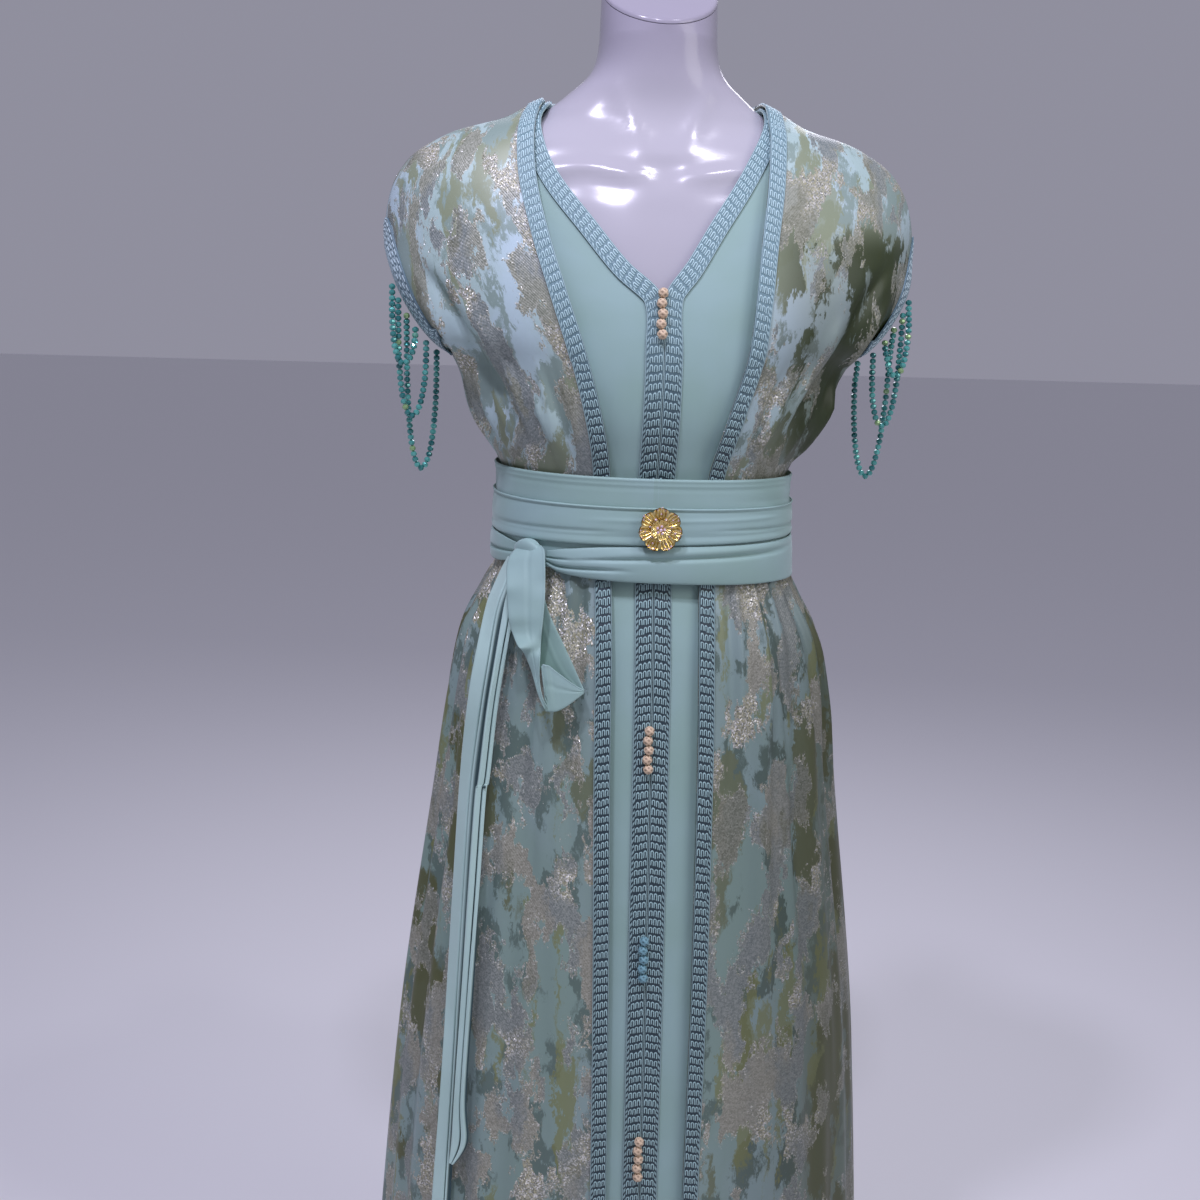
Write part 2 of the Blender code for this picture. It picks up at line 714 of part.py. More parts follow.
def make_robe(place):
    """Both fronts, the back and the braids of the open robe."""
    fronts = []
    for column, mirror in ((0, True), (1, False)):
        grid = front_panel(
            ROBE_LEVELS, ROBE_ROWS, ROBE_RISE, ROBE_EDGE, column, ROBE_BRAID,
            ROBE_FRONT_COLUMNS, TIP_HEIGHT, CUFF_BRAID, FRONT_FOLDS,
        )
        fronts.append(mirrored(grid) if mirror else grid)
    reaches = (ROBE_EDGE[-1][1], ROBE_EDGE[-1][2])
    back = back_panel(
        ROBE_LEVELS, ROBE_ROWS, ROBE_RISE, ROBE_BACK_COLUMNS, ROBE_NECK_COLUMNS,
        TIP_HEIGHT, CUFF_BRAID, reaches, NECK_DROP_ROBE, BACK_FOLDS,
    )
    middle = (ROBE_BACK_COLUMNS - 1) // 2
    far_half = range(middle, ROBE_BACK_COLUMNS)
    cloth("robe_back", back, ROBE_WALL, "aqua_brocade", place, turned=far_half)
    lift = BRAID_LIFT + BRAID_WALL
    base = len(ROBE_ROWS) - 1
    last = ROBE_FRONT_COLUMNS - 1
    for grid, side in zip(fronts, ("left", "right")):
        cloth(f"robe_front_{side}", grid, ROBE_WALL, "aqua_brocade", place)
        high = lifted(grid, lift)
        front_half = part_of(high, slice(base, None), (last - 1, last))
        far = lifted(back, lift)
        pair = (1, 0) if side == "left" else (-2, -1)
        back_half = part_of(far, slice(base, None), pair)
        top = [a.lerp(b, 0.5) for a, b in zip(front_half[-1], back_half[-1])]
        cuff = front_half[:-1] + [top] + back_half[:-1][::-1]
        cloth(f"cuff_braid_{side}", cuff, BRAID_WALL, "aqua_braid", place)
    edge_braid("robe_braid", fronts, back, ROBE_NECK_COLUMNS, place)
    return fronts


def make_dress(place):
    """Both fronts, the back and the braid of the inner dress."""
    fronts = []
    for column, mirror, side in ((0, True, "left"), (1, False, "right")):
        grid = front_panel(
            DRESS_LEVELS, DRESS_ROWS, DRESS_RISE, DRESS_EDGE, column, DRESS_BRAID,
            DRESS_FRONT_COLUMNS, DRESS_SHOULDER, CUFF_BRAID, (),
        )
        if mirror:
            grid = mirrored(grid)
        cloth(f"dress_front_{side}", grid, DRESS_WALL, "aqua_crepe", place)
        fronts.append(grid)
    reaches = (DRESS_EDGE[-1][1], DRESS_EDGE[-1][2])
    back = back_panel(
        DRESS_LEVELS, DRESS_ROWS, DRESS_RISE, DRESS_BACK_COLUMNS, DRESS_NECK_COLUMNS,
        DRESS_SHOULDER, CUFF_BRAID, reaches, NECK_DROP_DRESS, (),
    )
    middle = (DRESS_BACK_COLUMNS - 1) // 2
    far_half = range(middle, DRESS_BACK_COLUMNS)
    cloth("dress_back", back, DRESS_WALL, "aqua_crepe", place, turned=far_half)
    edge_braid("dress_braid", fronts, back, DRESS_NECK_COLUMNS, place)
    return fronts


def round_point(levels, turn, height, grow):
    """The point of a level section at a turn from the front, all the way round."""
    facing = -1 if math.cos(turn) >= 0 else 1
    return ring_point(levels, math.asin(math.sin(turn)), height, facing, grow)


def make_sash(place):
    """The pleated sash in two bands, the tie round it and the knot."""
    for name, table in (("sash_upper", SASH_UPPER), ("sash_middle", SASH_MIDDLE)):
        grid = []
        for height, fall, stand in table:
            row = []
            for j in range(SASH_SIDES):
                turn = 2.0 * math.pi * j / SASH_SIDES
                point = round_point(ROBE_LEVELS, turn, height, stand)
                level = height + fall * point.x
                row.append(round_point(ROBE_LEVELS, turn, level, stand))
            grid.append(row)
        cloth(name, grid, SASH_WALL, "aqua_crepe", place, closed=True)

    grid = []
    first, last = TIE_TURNS[0][0], TIE_TURNS[-1][0]
    for share, fullness in TIE_PROFILE:
        row = []
        for j in range(TIE_STEPS + 1):
            degrees = mix(first, last, j / TIE_STEPS)
            top, bottom, full = read_table(TIE_TURNS, degrees)
            stand = TIE_STAND + full * fullness
            height = mix(bottom, top, share)
            row.append(round_point(ROBE_LEVELS, math.radians(degrees), height, stand))
        grid.append(row)
    cloth("sash_tie", grid, TIE_WALL, "aqua_crepe", place)

    turn = math.radians(KNOT_TURN)
    centre = round_point(ROBE_LEVELS, turn, KNOT_HEIGHT, KNOT_STAND)
    form = bmesh.new()
    bmesh.ops.create_uvsphere(form, u_segments=10, v_segments=6, radius=1.0)
    facing = Matrix.Rotation(math.atan2(centre.x, -centre.y), 4, "Z")
    bmesh.ops.transform(
        form, matrix=facing @ Matrix.Diagonal((*KNOT_SIZE, 1.0)), verts=form.verts[:]
    )
    mesh = bpy.data.meshes.new("sash_knot")
    form.to_mesh(mesh)
    form.free()
    mesh.shade_smooth()
    add_object("sash_knot", mesh, "aqua_crepe", place).location = centre


def facets(grid):
    """The outer face of a panel as a tree that lines can be met with."""
    mesh = grid_mesh("facets", grid)
    corners = [vertex.co.copy() for vertex in mesh.vertices]
    tree = BVHTree.FromPolygons(corners, [tuple(face.vertices) for face in mesh.polygons])
    bpy.data.meshes.remove(mesh)
    return tree


def forward_point(tree, x, height, stand):
    """A point in front of a panel, or of its nearest edge, a distance off it."""
    for i in range(EDGE_STEPS):
        shift = (i + 1) // 2 * EDGE_STEP * (-1.0) ** i
        start = Vector((x + shift, -1.0, height))
        point, normal, _, _ = tree.ray_cast(start, Vector((0.0, 1.0, 0.0)))
        if point is not None:
            break
    away = stand / max(FACING_LEAST, abs(normal.y))
    return point + Vector((0.0, -away, 0.0))


def make_ties(tree, place):
    """The bow loop and the two tails that hang from the knot."""
    grid = []
    for left, left_z, right, right_z, stand in BOW_LINES:
        row = []
        for share in (0.0, 0.5, 1.0):
            x, z = mix(left, right, share), mix(left_z, right_z, share)
            row.append(forward_point(tree, x, z, stand))
        grid.append(row)
    cloth("sash_bow", grid, SASH_WALL, "aqua_crepe", place)
    for name, table in (("sash_tail_long", TAIL_LONG), ("sash_tail_short", TAIL_SHORT)):
        grid = []
        for height, left, right, stand in table:
            row = []
            for share, pleat in TAIL_PLEATS:
                x = mix(left, right, share)
                row.append(forward_point(tree, x, height, stand + pleat))
            grid.append(row)
        cloth(name, grid, SASH_WALL, "aqua_crepe", place)


def make_buttons(tree, place):
    """Groups of five knot buttons, turned bodies that follow the dress's front."""
    reach = 0.5 * (BUTTONS_IN_GROUP - 1) * BUTTON_PITCH
    outline = [(0.0, -reach - BUTTON_RADIUS)]
    for i in range(BUTTONS_IN_GROUP):
        middle = i * BUTTON_PITCH - reach
        outline.append((BUTTON_RADIUS * 0.92, middle - 0.22 * BUTTON_PITCH))
        outline.append((BUTTON_RADIUS * 0.92, middle + 0.22 * BUTTON_PITCH))
        if i < BUTTONS_IN_GROUP - 1:
            outline.append((BUTTON_NECK, middle + 0.5 * BUTTON_PITCH))
    outline.append((0.0, reach + BUTTON_RADIUS))
    outline.reverse()
    for name, height, material in BUTTON_GROUPS:
        mesh = bpy.data.meshes.new(name)
        points = [(radius, 0.0, z) for radius, z in outline]
        edges = [(i, i + 1) for i in range(len(points) - 1)]
        mesh.from_pydata(points, edges, [])
        piece = add_object(name, mesh, material, place)
        turned = piece.modifiers.new("turned", "SCREW")
        turned.steps = 6
        turned.render_steps = 6
        turned.use_merge_vertices = True
        turned.merge_threshold = 0.0001
        above = forward_point(tree, BUTTON_X, height + reach, 0.0)
        below = forward_point(tree, BUTTON_X, height - reach, 0.0)
        above.x = below.x = BUTTON_X
        run = (above - below).normalized()
        out = Vector((0.0, -run.z, run.y))
        away = BRAID_LIFT + BRAID_WALL + BUTTON_FLAT * BUTTON_RADIUS + BUTTON_CLEAR
        piece.location = (above + below) / 2.0 + out * away
        piece.rotation_euler = (math.atan2(-run.y, run.z), 0.0, 0.0)


def make_brooch(place):
    """The flower brooch in the middle of the sash."""
    around = 6 * BROOCH_PETALS
    back = skin_point(ROBE_LEVELS, 0.0, BROOCH_HEIGHT, -1).y - BROOCH_STAND
    rings = []
    for share, rise, lobes in BROOCH_RINGS:
        ring = []
        for i in range(around):
            turn = 2.0 * math.pi * i / around
            wave = abs(math.cos(0.5 * BROOCH_PETALS * turn))
            reach = BROOCH_RADIUS * share * (1.0 - lobes * (1.0 - wave))
            ring.append(Vector((
                reach * math.sin(turn), back - rise, BROOCH_HEIGHT + reach * math.cos(turn)
            )))
        rings.append(ring)
    capped_loft("brooch", rings, "gold_metal", place)


def strand(name, points, radius, place):
    """A closed tube of four sides along points, as a mesh."""
    curve = bpy.data.curves.new(name, "CURVE")
    curve.dimensions = "3D"
    curve.bevel_depth = radius
    curve.bevel_resolution = 0
    curve.use_fill_caps = True
    line = curve.splines.new("POLY")
    line.points.add(len(points) - 1)
    for knot, point in zip(line.points, points):
        knot.co = (*point, 1.0)
    guide = bpy.data.objects.new(name, curve)
    place.objects.link(guide)
    bpy.context.view_layer.update()
    seen = guide.evaluated_get(bpy.context.evaluated_depsgraph_get())
    mesh = bpy.data.meshes.new_from_object(seen)
    bpy.data.objects.remove(guide, do_unlink=True)
    form = bmesh.new()
    form.from_mesh(mesh)
    bmesh.ops.remove_doubles(form, verts=form.verts[:], dist=0.00001)
    bmesh.ops.recalc_face_normals(form, faces=form.faces[:])
    form.to_mesh(mesh)
    form.free()
    piece = bpy.data.objects.new(name, mesh)
    place.objects.link(piece)
    return piece


def make_beads(fronts, place, cutters):
    """Loops of strung beads that hang from a strip along each front armhole edge."""
    base = len(ROBE_ROWS) - 1
    for grid, side in zip(fronts, ("left", "right")):
        sign = -1.0 if side == "left" else 1.0
        edge = [row[-1] for row in grid[base:]]
        path = []
        for i in range(BEAD_TOP_ROW, BEAD_BOTTOM_ROW - 1, -1):
            run = (edge[i - 1] - edge[i + 1]).normalized()
            down = Vector((sign * -run.z, 0.0, sign * run.x)).normalized()
            if down.z > 0.0:
                down = -down
            path.append(edge[i] + down * BEAD_STRIP_OFF)
        strip = strand(f"bead_strands_{side}", path, BEAD_STRIP_RADIUS, place)
        strip.data.materials.append(finish("teal_beads"))

        def along(share):
            place_on = share * (len(path) - 1)
            i = min(int(place_on), len(path) - 2)
            return path[i].lerp(path[i + 1], place_on - i)

        for n, (start, end, lowest, stand) in enumerate(BEAD_LOOPS):
            a, b = along(start), along(end)
            points = []
            for i in range(BEAD_POINTS):
                t = i / (BEAD_POINTS - 1)
                turn = math.pi * t
                x = mix(a.x, b.x, 0.5 - 0.5 * math.cos(turn))
                drop = math.sin(turn) ** 0.7
                top = mix(a.z, b.z, t)
                z = mix(top, lowest, drop) - BEAD_DROP
                y = mix(a.y, b.y, t) - stand * smooth((top - z) / 0.03)
                points.append(Vector((x, y, z)))
            loop = strand(f"loop_{side}_{n}", points, BEAD_RADIUS, cutters)
            loop.hide_render = True
            loop.display_type = "WIRE"
            joined = strip.modifiers.new("loop", "BOOLEAN")
            joined.operation = "UNION"
            joined.solver = "EXACT"
            joined.object = loop


def make_form(place):
    """The torso with its neck, the cap on the neck, the pole and the base."""
    rings = []
    for height, *_ in FORM_LEVELS:
        ring = []
        for i in range(FORM_SIDES):
            turn = 2.0 * math.pi * i / FORM_SIDES
            facing = -1 if math.cos(turn) >= 0 else 1
            angle = math.asin(math.sin(turn))
            ring.append(ring_point(FORM_LEVELS, angle, height, facing))
        rings.append(ring)

    def neck_ring(rise, shrink):
        ring = []
        for i in range(FORM_SIDES):
            turn = 2.0 * math.pi * i / FORM_SIDES
            x = (NECK_RADIUS[0] - shrink) * math.sin(turn)
            y = -(NECK_RADIUS[1] - shrink) * math.cos(turn)
            ring.append(Vector((x, y, NECK_TOP + rise + NECK_SLANT * y)))
        return ring

    rings.append(neck_ring(0.0, 0.0))
    capped_loft("form_torso", rings, "white_gloss", place)
    cap = [
        neck_ring(0.0008, 0.0008),
        neck_ring(CAP_HEIGHT * 0.60, 0.0004),
        neck_ring(CAP_HEIGHT, 0.0040),
    ]
    capped_loft("form_neck_cap", cap, "white_gloss", place)

    bottom = FORM_LEVELS[0][0]
    pole_length = bottom - BASE_HEIGHT - 2.0 * GAP
    bpy.ops.mesh.primitive_cylinder_add(
        vertices=16, radius=POLE_RADIUS, depth=pole_length,
        location=(0.0, 0.0, BASE_HEIGHT + GAP + 0.5 * pole_length),
    )
    adopt("form_pole", "steel", place)
    bpy.ops.mesh.primitive_cylinder_add(
        vertices=40, radius=BASE_RADIUS, depth=BASE_HEIGHT,
        location=(0.0, 0.0, 0.5 * BASE_HEIGHT),
    )
    base = adopt("form_base", "steel", place)
    bevel = base.modifiers.new("edge", "BEVEL")
    bevel.width = BASE_BEVEL
    bevel.segments = 1
    bevel.angle_limit = math.radians(50.0)


def capped_loft(name, rings, material, place):
    """A closed body through rings, with a flat end at each side."""
    form = bmesh.new()
    points = [[form.verts.new(p) for p in ring] for ring in rings]
    count = len(rings[0])
    for low, high in zip(points, points[1:]):
        for j in range(count):
            k = (j + 1) % count
            form.faces.new((low[j], low[k], high[k], high[j]))
    form.faces.new(points[0][::-1])
    form.faces.new(points[-1])
    bmesh.ops.recalc_face_normals(form, faces=form.faces[:])
    bmesh.ops.triangulate(form, faces=form.faces[:])
    mesh = bpy.data.meshes.new(name)
    form.to_mesh(mesh)
    form.free()
    mesh.shade_smooth()
    mesh.set_sharp_from_angle(angle=math.radians(40.0))
    return add_object(name, mesh, material, place)


def adopt(name, material, place):
    """The primitive that was just added, named and moved to the collection."""
    piece = bpy.context.object
    piece.name = name
    piece.data.name = name
    piece.data.materials.append(finish(material))
    for other in list(piece.users_collection):
        other.objects.unlink(piece)
    place.objects.link(piece)
    return piece


def main():
    for old in list(bpy.data.objects):
        bpy.data.objects.remove(old, do_unlink=True)
    place = collection("moroccan_kaftan")
    cutters = collection("cutters")
    make_form(place)
    dress_fronts = make_dress(place)
    robe_fronts = make_robe(place)
    make_sash(place)
    make_ties(facets(robe_fronts[0]), place)
    make_buttons(facets(dress_fronts[0]), place)
    make_brooch(place)
    make_beads(robe_fronts, place, cutters)
    root = bpy.data.objects.new("kaftan_root", None)
    place.objects.link(root)
    for piece in list(place.objects):
        if piece is not root:
            piece.parent = root


main()
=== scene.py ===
# %% [markdown]
# # A Moroccan kaftan on a dress form
# A kaftan of this kind is two long layers: a plain crepe dress, and over it an open
# robe of brocade, both edged with braid and held in by a wide sash. This lesson
# dresses a plain measured model with those cloths. We start by loading that model,
# which gives the place and the size of every piece.

# %% Load the measured model
import math
import random
from types import SimpleNamespace

import bmesh
import bpy
import numpy as np
from mathutils import Matrix, Vector


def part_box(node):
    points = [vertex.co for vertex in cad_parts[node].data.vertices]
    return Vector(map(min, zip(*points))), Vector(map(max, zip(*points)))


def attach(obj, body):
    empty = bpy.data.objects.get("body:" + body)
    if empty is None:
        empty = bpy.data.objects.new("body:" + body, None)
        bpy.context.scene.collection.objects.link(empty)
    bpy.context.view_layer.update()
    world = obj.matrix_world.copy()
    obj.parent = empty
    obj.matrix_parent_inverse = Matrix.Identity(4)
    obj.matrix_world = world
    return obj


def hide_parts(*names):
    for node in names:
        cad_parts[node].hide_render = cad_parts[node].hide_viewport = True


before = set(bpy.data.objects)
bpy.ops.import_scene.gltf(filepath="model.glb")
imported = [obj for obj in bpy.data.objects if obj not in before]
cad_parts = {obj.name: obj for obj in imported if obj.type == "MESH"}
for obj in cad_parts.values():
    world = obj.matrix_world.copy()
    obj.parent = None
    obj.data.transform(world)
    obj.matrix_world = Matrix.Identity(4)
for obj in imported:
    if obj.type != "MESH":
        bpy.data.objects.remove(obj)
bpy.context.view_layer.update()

# %% [markdown]
# ## Where we stand
# A camera in Blender looks down its own -Z axis. We could rotate it by Euler angles,
# but it is easier to read when we build its three axes from two angles: how far it
# is turned round the kaftan and how far it looks down. A small roll is added last.
# The eye is at chest height, close enough that the shoulders look wider than the hem.

# %% Camera
TURN = math.radians(-6.0)
DOWN = math.radians(11.5)
ROLL = math.radians(1.75)
DISTANCE = 1.40
EYE_HEIGHT = 1.286
SIDESTEP = -0.038
LENS = 42.9
SENSOR_WIDTH = 36.0


def put_in(name, data):
    """A new object with this data, placed in the scene."""
    made = bpy.data.objects.new(name, data)
    bpy.context.scene.collection.objects.link(made)
    return made


right = Vector((math.cos(TURN), math.sin(TURN), 0.0))
ahead = Vector((-math.sin(TURN) * math.cos(DOWN), math.cos(TURN) * math.cos(DOWN), -math.sin(DOWN)))
upward = right.cross(ahead)
eye = Vector((math.sin(TURN), -math.cos(TURN), 0.0)) * DISTANCE + right * SIDESTEP
eye.z = EYE_HEIGHT
axes = Matrix.Identity(3)
axes.col[0] = right * math.cos(ROLL) + upward * math.sin(ROLL)
axes.col[1] = upward * math.cos(ROLL) - right * math.sin(ROLL)
axes.col[2] = -ahead
camera = put_in("camera", bpy.data.cameras.new("camera"))
camera.data.lens = LENS
camera.data.sensor_width = SENSOR_WIDTH
camera.matrix_world = Matrix.Translation(eye) @ axes.to_4x4()
bpy.context.scene.camera = camera
print("camera at", [round(v, 3) for v in eye])

# %% [markdown]
# ## Floor and light
# A studio is a pale floor and a few lamps. A large lamp gives soft shadows and a small
# one gives a gloss surface its crisp highlights. Three small lamps hang in a row high
# in front, the key lamp on the left being the strongest. A large one fills the right,
# and one behind the shoulders draws their outline. The world adds an even pale light.

# %% Floor and lamps
HALF_FLOOR = 30.0
FLOOR_TINT = (0.80, 0.80, 0.82, 1.0)
WORLD_TINT = (0.82, 0.81, 1.0, 1.0)
WORLD_STRENGTH = 0.34

floor_mesh = bpy.data.meshes.new("floor")
floor_mesh.from_pydata(
    [(x * HALF_FLOOR, y * HALF_FLOOR, 0) for x, y in ((-1, -1), (1, -1), (1, 1), (-1, 1))],
    [], [(0, 1, 2, 3)])
floor = put_in("floor", floor_mesh)
paint = bpy.data.materials.new("floor_paint")
paint.use_nodes = True
paint.node_tree.nodes["Principled BSDF"].inputs["Base Color"].default_value = FLOOR_TINT
paint.node_tree.nodes["Principled BSDF"].inputs["Roughness"].default_value = 0.8
floor_mesh.materials.append(paint)

world = bpy.data.worlds.new("studio")
world.use_nodes = True
world.node_tree.nodes["Background"].inputs["Color"].default_value = WORLD_TINT
world.node_tree.nodes["Background"].inputs["Strength"].default_value = WORLD_STRENGTH
bpy.context.scene.world = world
bpy.context.scene.view_settings.view_transform = "Standard"


def lamp(name, place, target, size, power, colour):
    """A square area lamp that faces a target."""
    light = bpy.data.lights.new(name, "AREA")
    light.size = size
    light.energy = power
    light.color = colour
    holder = put_in(name, light)
    holder.location = place
    holder.rotation_euler = (Vector(target) - Vector(place)).to_track_quat("-Z", "Y").to_euler()


lamp("key_lamp", (-0.64, -0.96, 2.92), (0.0, 0.0, 1.30), 0.17, 20.0, (0.81, 0.78, 1.0))
lamp("second_lamp", (-0.13, -1.20, 2.92), (0.0, 0.0, 1.30), 0.12, 13.5, (0.81, 0.78, 1.0))
lamp("third_lamp", (0.56, -0.90, 2.92), (0.0, 0.0, 1.30), 0.12, 5.5, (0.88, 0.86, 1.0))
lamp("fill_lamp", (1.5, -1.4, 2.1), (0.0, 0.0, 1.1), 1.0, 9.0, (1.0, 0.98, 0.95))
lamp("rim_lamp", (0.4, 1.9, 2.6), (0.0, 0.0, 1.2), 1.2, 20.0, (0.90, 0.88, 1.0))
print("lamps", len(bpy.data.lights))

# %% [markdown]
# ## A shorthand for materials
# A node material can be built by hand in the shader editor. In code the same nodes
# are made one by one, so small helpers keep that short: one starts a material, one
# adds a node and plugs it in, and the rest are the nodes that every finish needs. A
# socket knows its own tree, so most of them needn't be told which tree to work in.
# Colours are given as they look on a screen and changed to the linear values that
# Blender works with.

# %% Material helpers
def tint(red, green, blue):
    """A screen colour, 0 to 255, as linear values."""
    values = []
    for level in (red, green, blue):
        level = level / 255.0
        values.append(level / 12.92 if level <= 0.04045 else ((level + 0.055) / 1.055) ** 2.4)
    return (*values, 1.0)


def new_material(name, **sockets):
    """A material with its node tree and its Principled shader."""
    material = bpy.data.materials.new(name)
    material.use_nodes = True
    shader = material.node_tree.nodes["Principled BSDF"]
    for socket, value in sockets.items():
        shader.inputs[socket.replace("_", " ")].default_value = value
    return material, material.node_tree, shader


def node(tree, kind, inputs=(), **settings):
    """A node with its settings made and its inputs filled or linked."""
    made = tree.nodes.new("ShaderNode" + kind)
    for name, value in settings.items():
        setattr(made, name, value)
    for key, value in dict(inputs).items():
        if isinstance(value, bpy.types.NodeSocket):
            tree.links.new(value, made.inputs[key])
        else:
            made.inputs[key].default_value = value
    return made


def tree_of(*values):
    """The tree of the first socket among some values."""
    return next(value.id_data for value in values if isinstance(value, bpy.types.NodeSocket))


def maths(operation, a, b=0.0):
    """The result of one math node."""
    return node(tree_of(a, b), "Math", {0: a, 1: b}, operation=operation).outputs[0]


def times(a, b):
    """The product of two values."""
    return maths("MULTIPLY", a, b)


def rest_of(share):
    """What a share leaves of 1."""
    return maths("SUBTRACT", 1.0, share)


def blend(share, low, high):
    """A colour mixed between two."""
    inputs = {0: share, 6: low, 7: high}
    return node(tree_of(share, low, high), "Mix", inputs, data_type="RGBA").outputs[2]


def step_up(value, low, high):
    """A value eased from 0 to 1 between two levels."""
    inputs = {0: value, 1: low, 2: high}
    return node(value.id_data, "MapRange", inputs, interpolation_type="SMOOTHSTEP").outputs[0]


def map_place(tree, name="cloth"):
    """The place on a texture map."""
    return node(tree, "UVMap", uv_map=name).outputs[0]


def solid_place(tree):
    """The place in space, for a pattern that runs through the whole solid."""
    return node(tree, "TexCoord").outputs["Object"]


def parts_of(place):
    """The three parts of a place."""
    return node(place.id_data, "SeparateXYZ", {0: place}).outputs


def noise(place, scale, detail=2.0, roughness=0.5):
    """A noise as a value, output 0, and as a colour, output 1."""
    inputs = {"Vector": place, "Scale": scale, "Detail": detail, "Roughness": roughness}
    return node(place.id_data, "TexNoise", inputs).outputs


def paint_with(shader, colour):
    """Plugs a colour into the shader."""
    shader.id_data.links.new(colour, shader.inputs["Base Color"])


def roughen(shader, height, strength, distance, **more):
    """Plugs a bump from a height into the shader."""
    tree = shader.id_data
    bump = node(tree, "Bump", {"Height": height, "Strength": strength, "Distance": distance, **more})
    tree.links.new(bump.outputs[0], shader.inputs["Normal"])


print("helpers ready")

# %% [markdown]
# ## Crepe
# The dress and the sash are a matt crepe with a very fine pebbled grain. The grain is
# far smaller than a fold, so it is a bump in the material, with a faint drift in
# colour between bluer and greener threads and a little sheen at grazing angles. A
# "fold" map, where a piece has one, carries painted shade: it darkens the grooves
# between layers, and it greens and darkens the loop's inner face, which is partly the
# cloth's reverse side and partly painted shade. The ends of the sash catch more light,
# which is painted in as a paler crepe.

# %% Crepe
def make_crepe(name, lit, shade):
    """Crepe that drifts between two tints."""
    material, tree, shader = new_material(name, Roughness=0.62, Sheen_Weight=0.25, Sheen_Roughness=0.4)
    place = map_place(tree)
    drift = step_up(noise(place, 9.0, 3.0)[0], 0.3, 0.7)
    # Painted shade: the "fold" map darkens the grooves and greens the inner face
    groove_shade, inner, _ = parts_of(map_place(tree, "fold"))
    colour = blend(inner, blend(drift, lit, shade), tint(98, 134, 118))
    paint_with(shader, blend(groove_shade, colour, tint(44, 72, 76)))
    roughen(shader, noise(place, 1400.0)[0], 0.12, 0.0004)
    return material


crepe = make_crepe("aqua_crepe_cloth", tint(153, 183, 180), tint(146, 177, 168))
# A paler copy of the crepe, painted lighter for the light on the sash's ends
lit_sash_crepe = make_crepe("aqua_sash_lit_cloth", tint(188, 218, 211), tint(180, 211, 202))
print("made", crepe.name, "and", lit_sash_crepe.name)

# %% [markdown]
# ## Brocade: its areas
# Brocade is a satin ground with areas where metal threads float over it. Light and
# shade are painted into its colour by area: it is painted paler on the chest, where
# the light falls from above, painted glints are strongest by the sash, and it is
# painted darker at the sides, under the arm and towards the wearer's left side, where
# shade falls; the olive there is partly the cloth's own. Each such area is a mask,
# worked out from the place on the robe and eased at its border, so that one material
# can serve all three pieces.

# %% Areas of the brocade
brocade, tree, shader = new_material("aqua_brocade_cloth")
place = map_place(tree)
across_robe, into_robe, height = parts_of(solid_place(tree))
# The sides: more olive, and more dimmer patches as painted shade
side_olive_and_shade = step_up(maths("ABSOLUTE", across_robe), 0.09, 0.20)
# Painted light: the chest is painted paler, where the light falls from above
chest = step_up(height, 0.97, 1.30)
# By the sash: more metal, and more painted glints
at_belt = times(step_up(height, 0.95, 1.02), rest_of(step_up(height, 1.09, 1.20)))
below_belt = rest_of(step_up(height, 1.02, 1.10))
in_front = rest_of(step_up(into_robe, -0.04, 0.05))
# The skirt's edge on the wearer's left: olive, partly painted shade
edge_olive_and_shade = times(times(step_up(across_robe, 0.138, 0.172), below_belt), in_front)
arm_height = maths("SUBTRACT", step_up(height, 1.05, 1.12), step_up(height, 1.34, 1.39))
# Under the arm on the wearer's left: olive, and painted shade
arm_olive_and_shade = times(times(step_up(across_robe, 0.075, 0.140), arm_height), in_front)
# Painted shade over the front of the wearer's left side, below the chest
wearer_left_shade = times(times(step_up(across_robe, 0.03, 0.17), in_front), rest_of(step_up(height, 1.29, 1.37)))
print("areas of the brocade made")

# %% [markdown]
# ## Brocade: its pattern
# Real designs are drawn motifs. Ours is plain noise of the same scale. The cloth is
# first bent about by one noise, and each further noise is cut off at a level: above
# it lies metal, moss green, a streak or a dimmer satin. Stretching a noise along the
# cloth makes upright patches, and raising it inside an area makes more of them there.

# %% Pattern of the brocade
def vector_maths(operation, inputs):
    """The result of one vector math node."""
    return node(tree, "VectorMath", inputs, operation=operation).outputs[0]


def push_from(colour, amount):
    """A push to any side, from a colour with channels of 0 to 1."""
    push = vector_maths("SUBTRACT", {0: colour, 1: (0.5, 0.5, 0.5)})
    return vector_maths("SCALE", {0: push, "Scale": amount})


def moved(place, push):
    """A place or a direction with a push added."""
    return vector_maths("ADD", {0: place, 1: push})


def bend(place, stretch, scale, reach):
    """A place moved about by noise, so that every edge drawn with it is ragged."""
    spot = node(tree, "Mapping", {0: place, 3: stretch}).outputs[0]
    return moved(place, push_from(noise(spot, scale, 3.0, 0.7)[1], reach))


bent = bend(bend(place, (1.0, 0.45, 1.0), 60.0, 0.034), (1.0, 0.22, 1.0), 400.0, 0.013)


def noise_level(shift, across, along, scale, detail):
    """A stretched noise over the bent cloth."""
    spot = node(tree, "Mapping", {0: bent, 1: (shift, shift * 0.7, 0.0), 3: (across, along, 1.0)})
    return noise(spot.outputs[0], scale, detail, 0.55)[0]


def raised(level, amount, *shares):
    """A level raised by shares of an amount."""
    for share in shares:
        level = maths("ADD", level, times(share, amount))
    return level


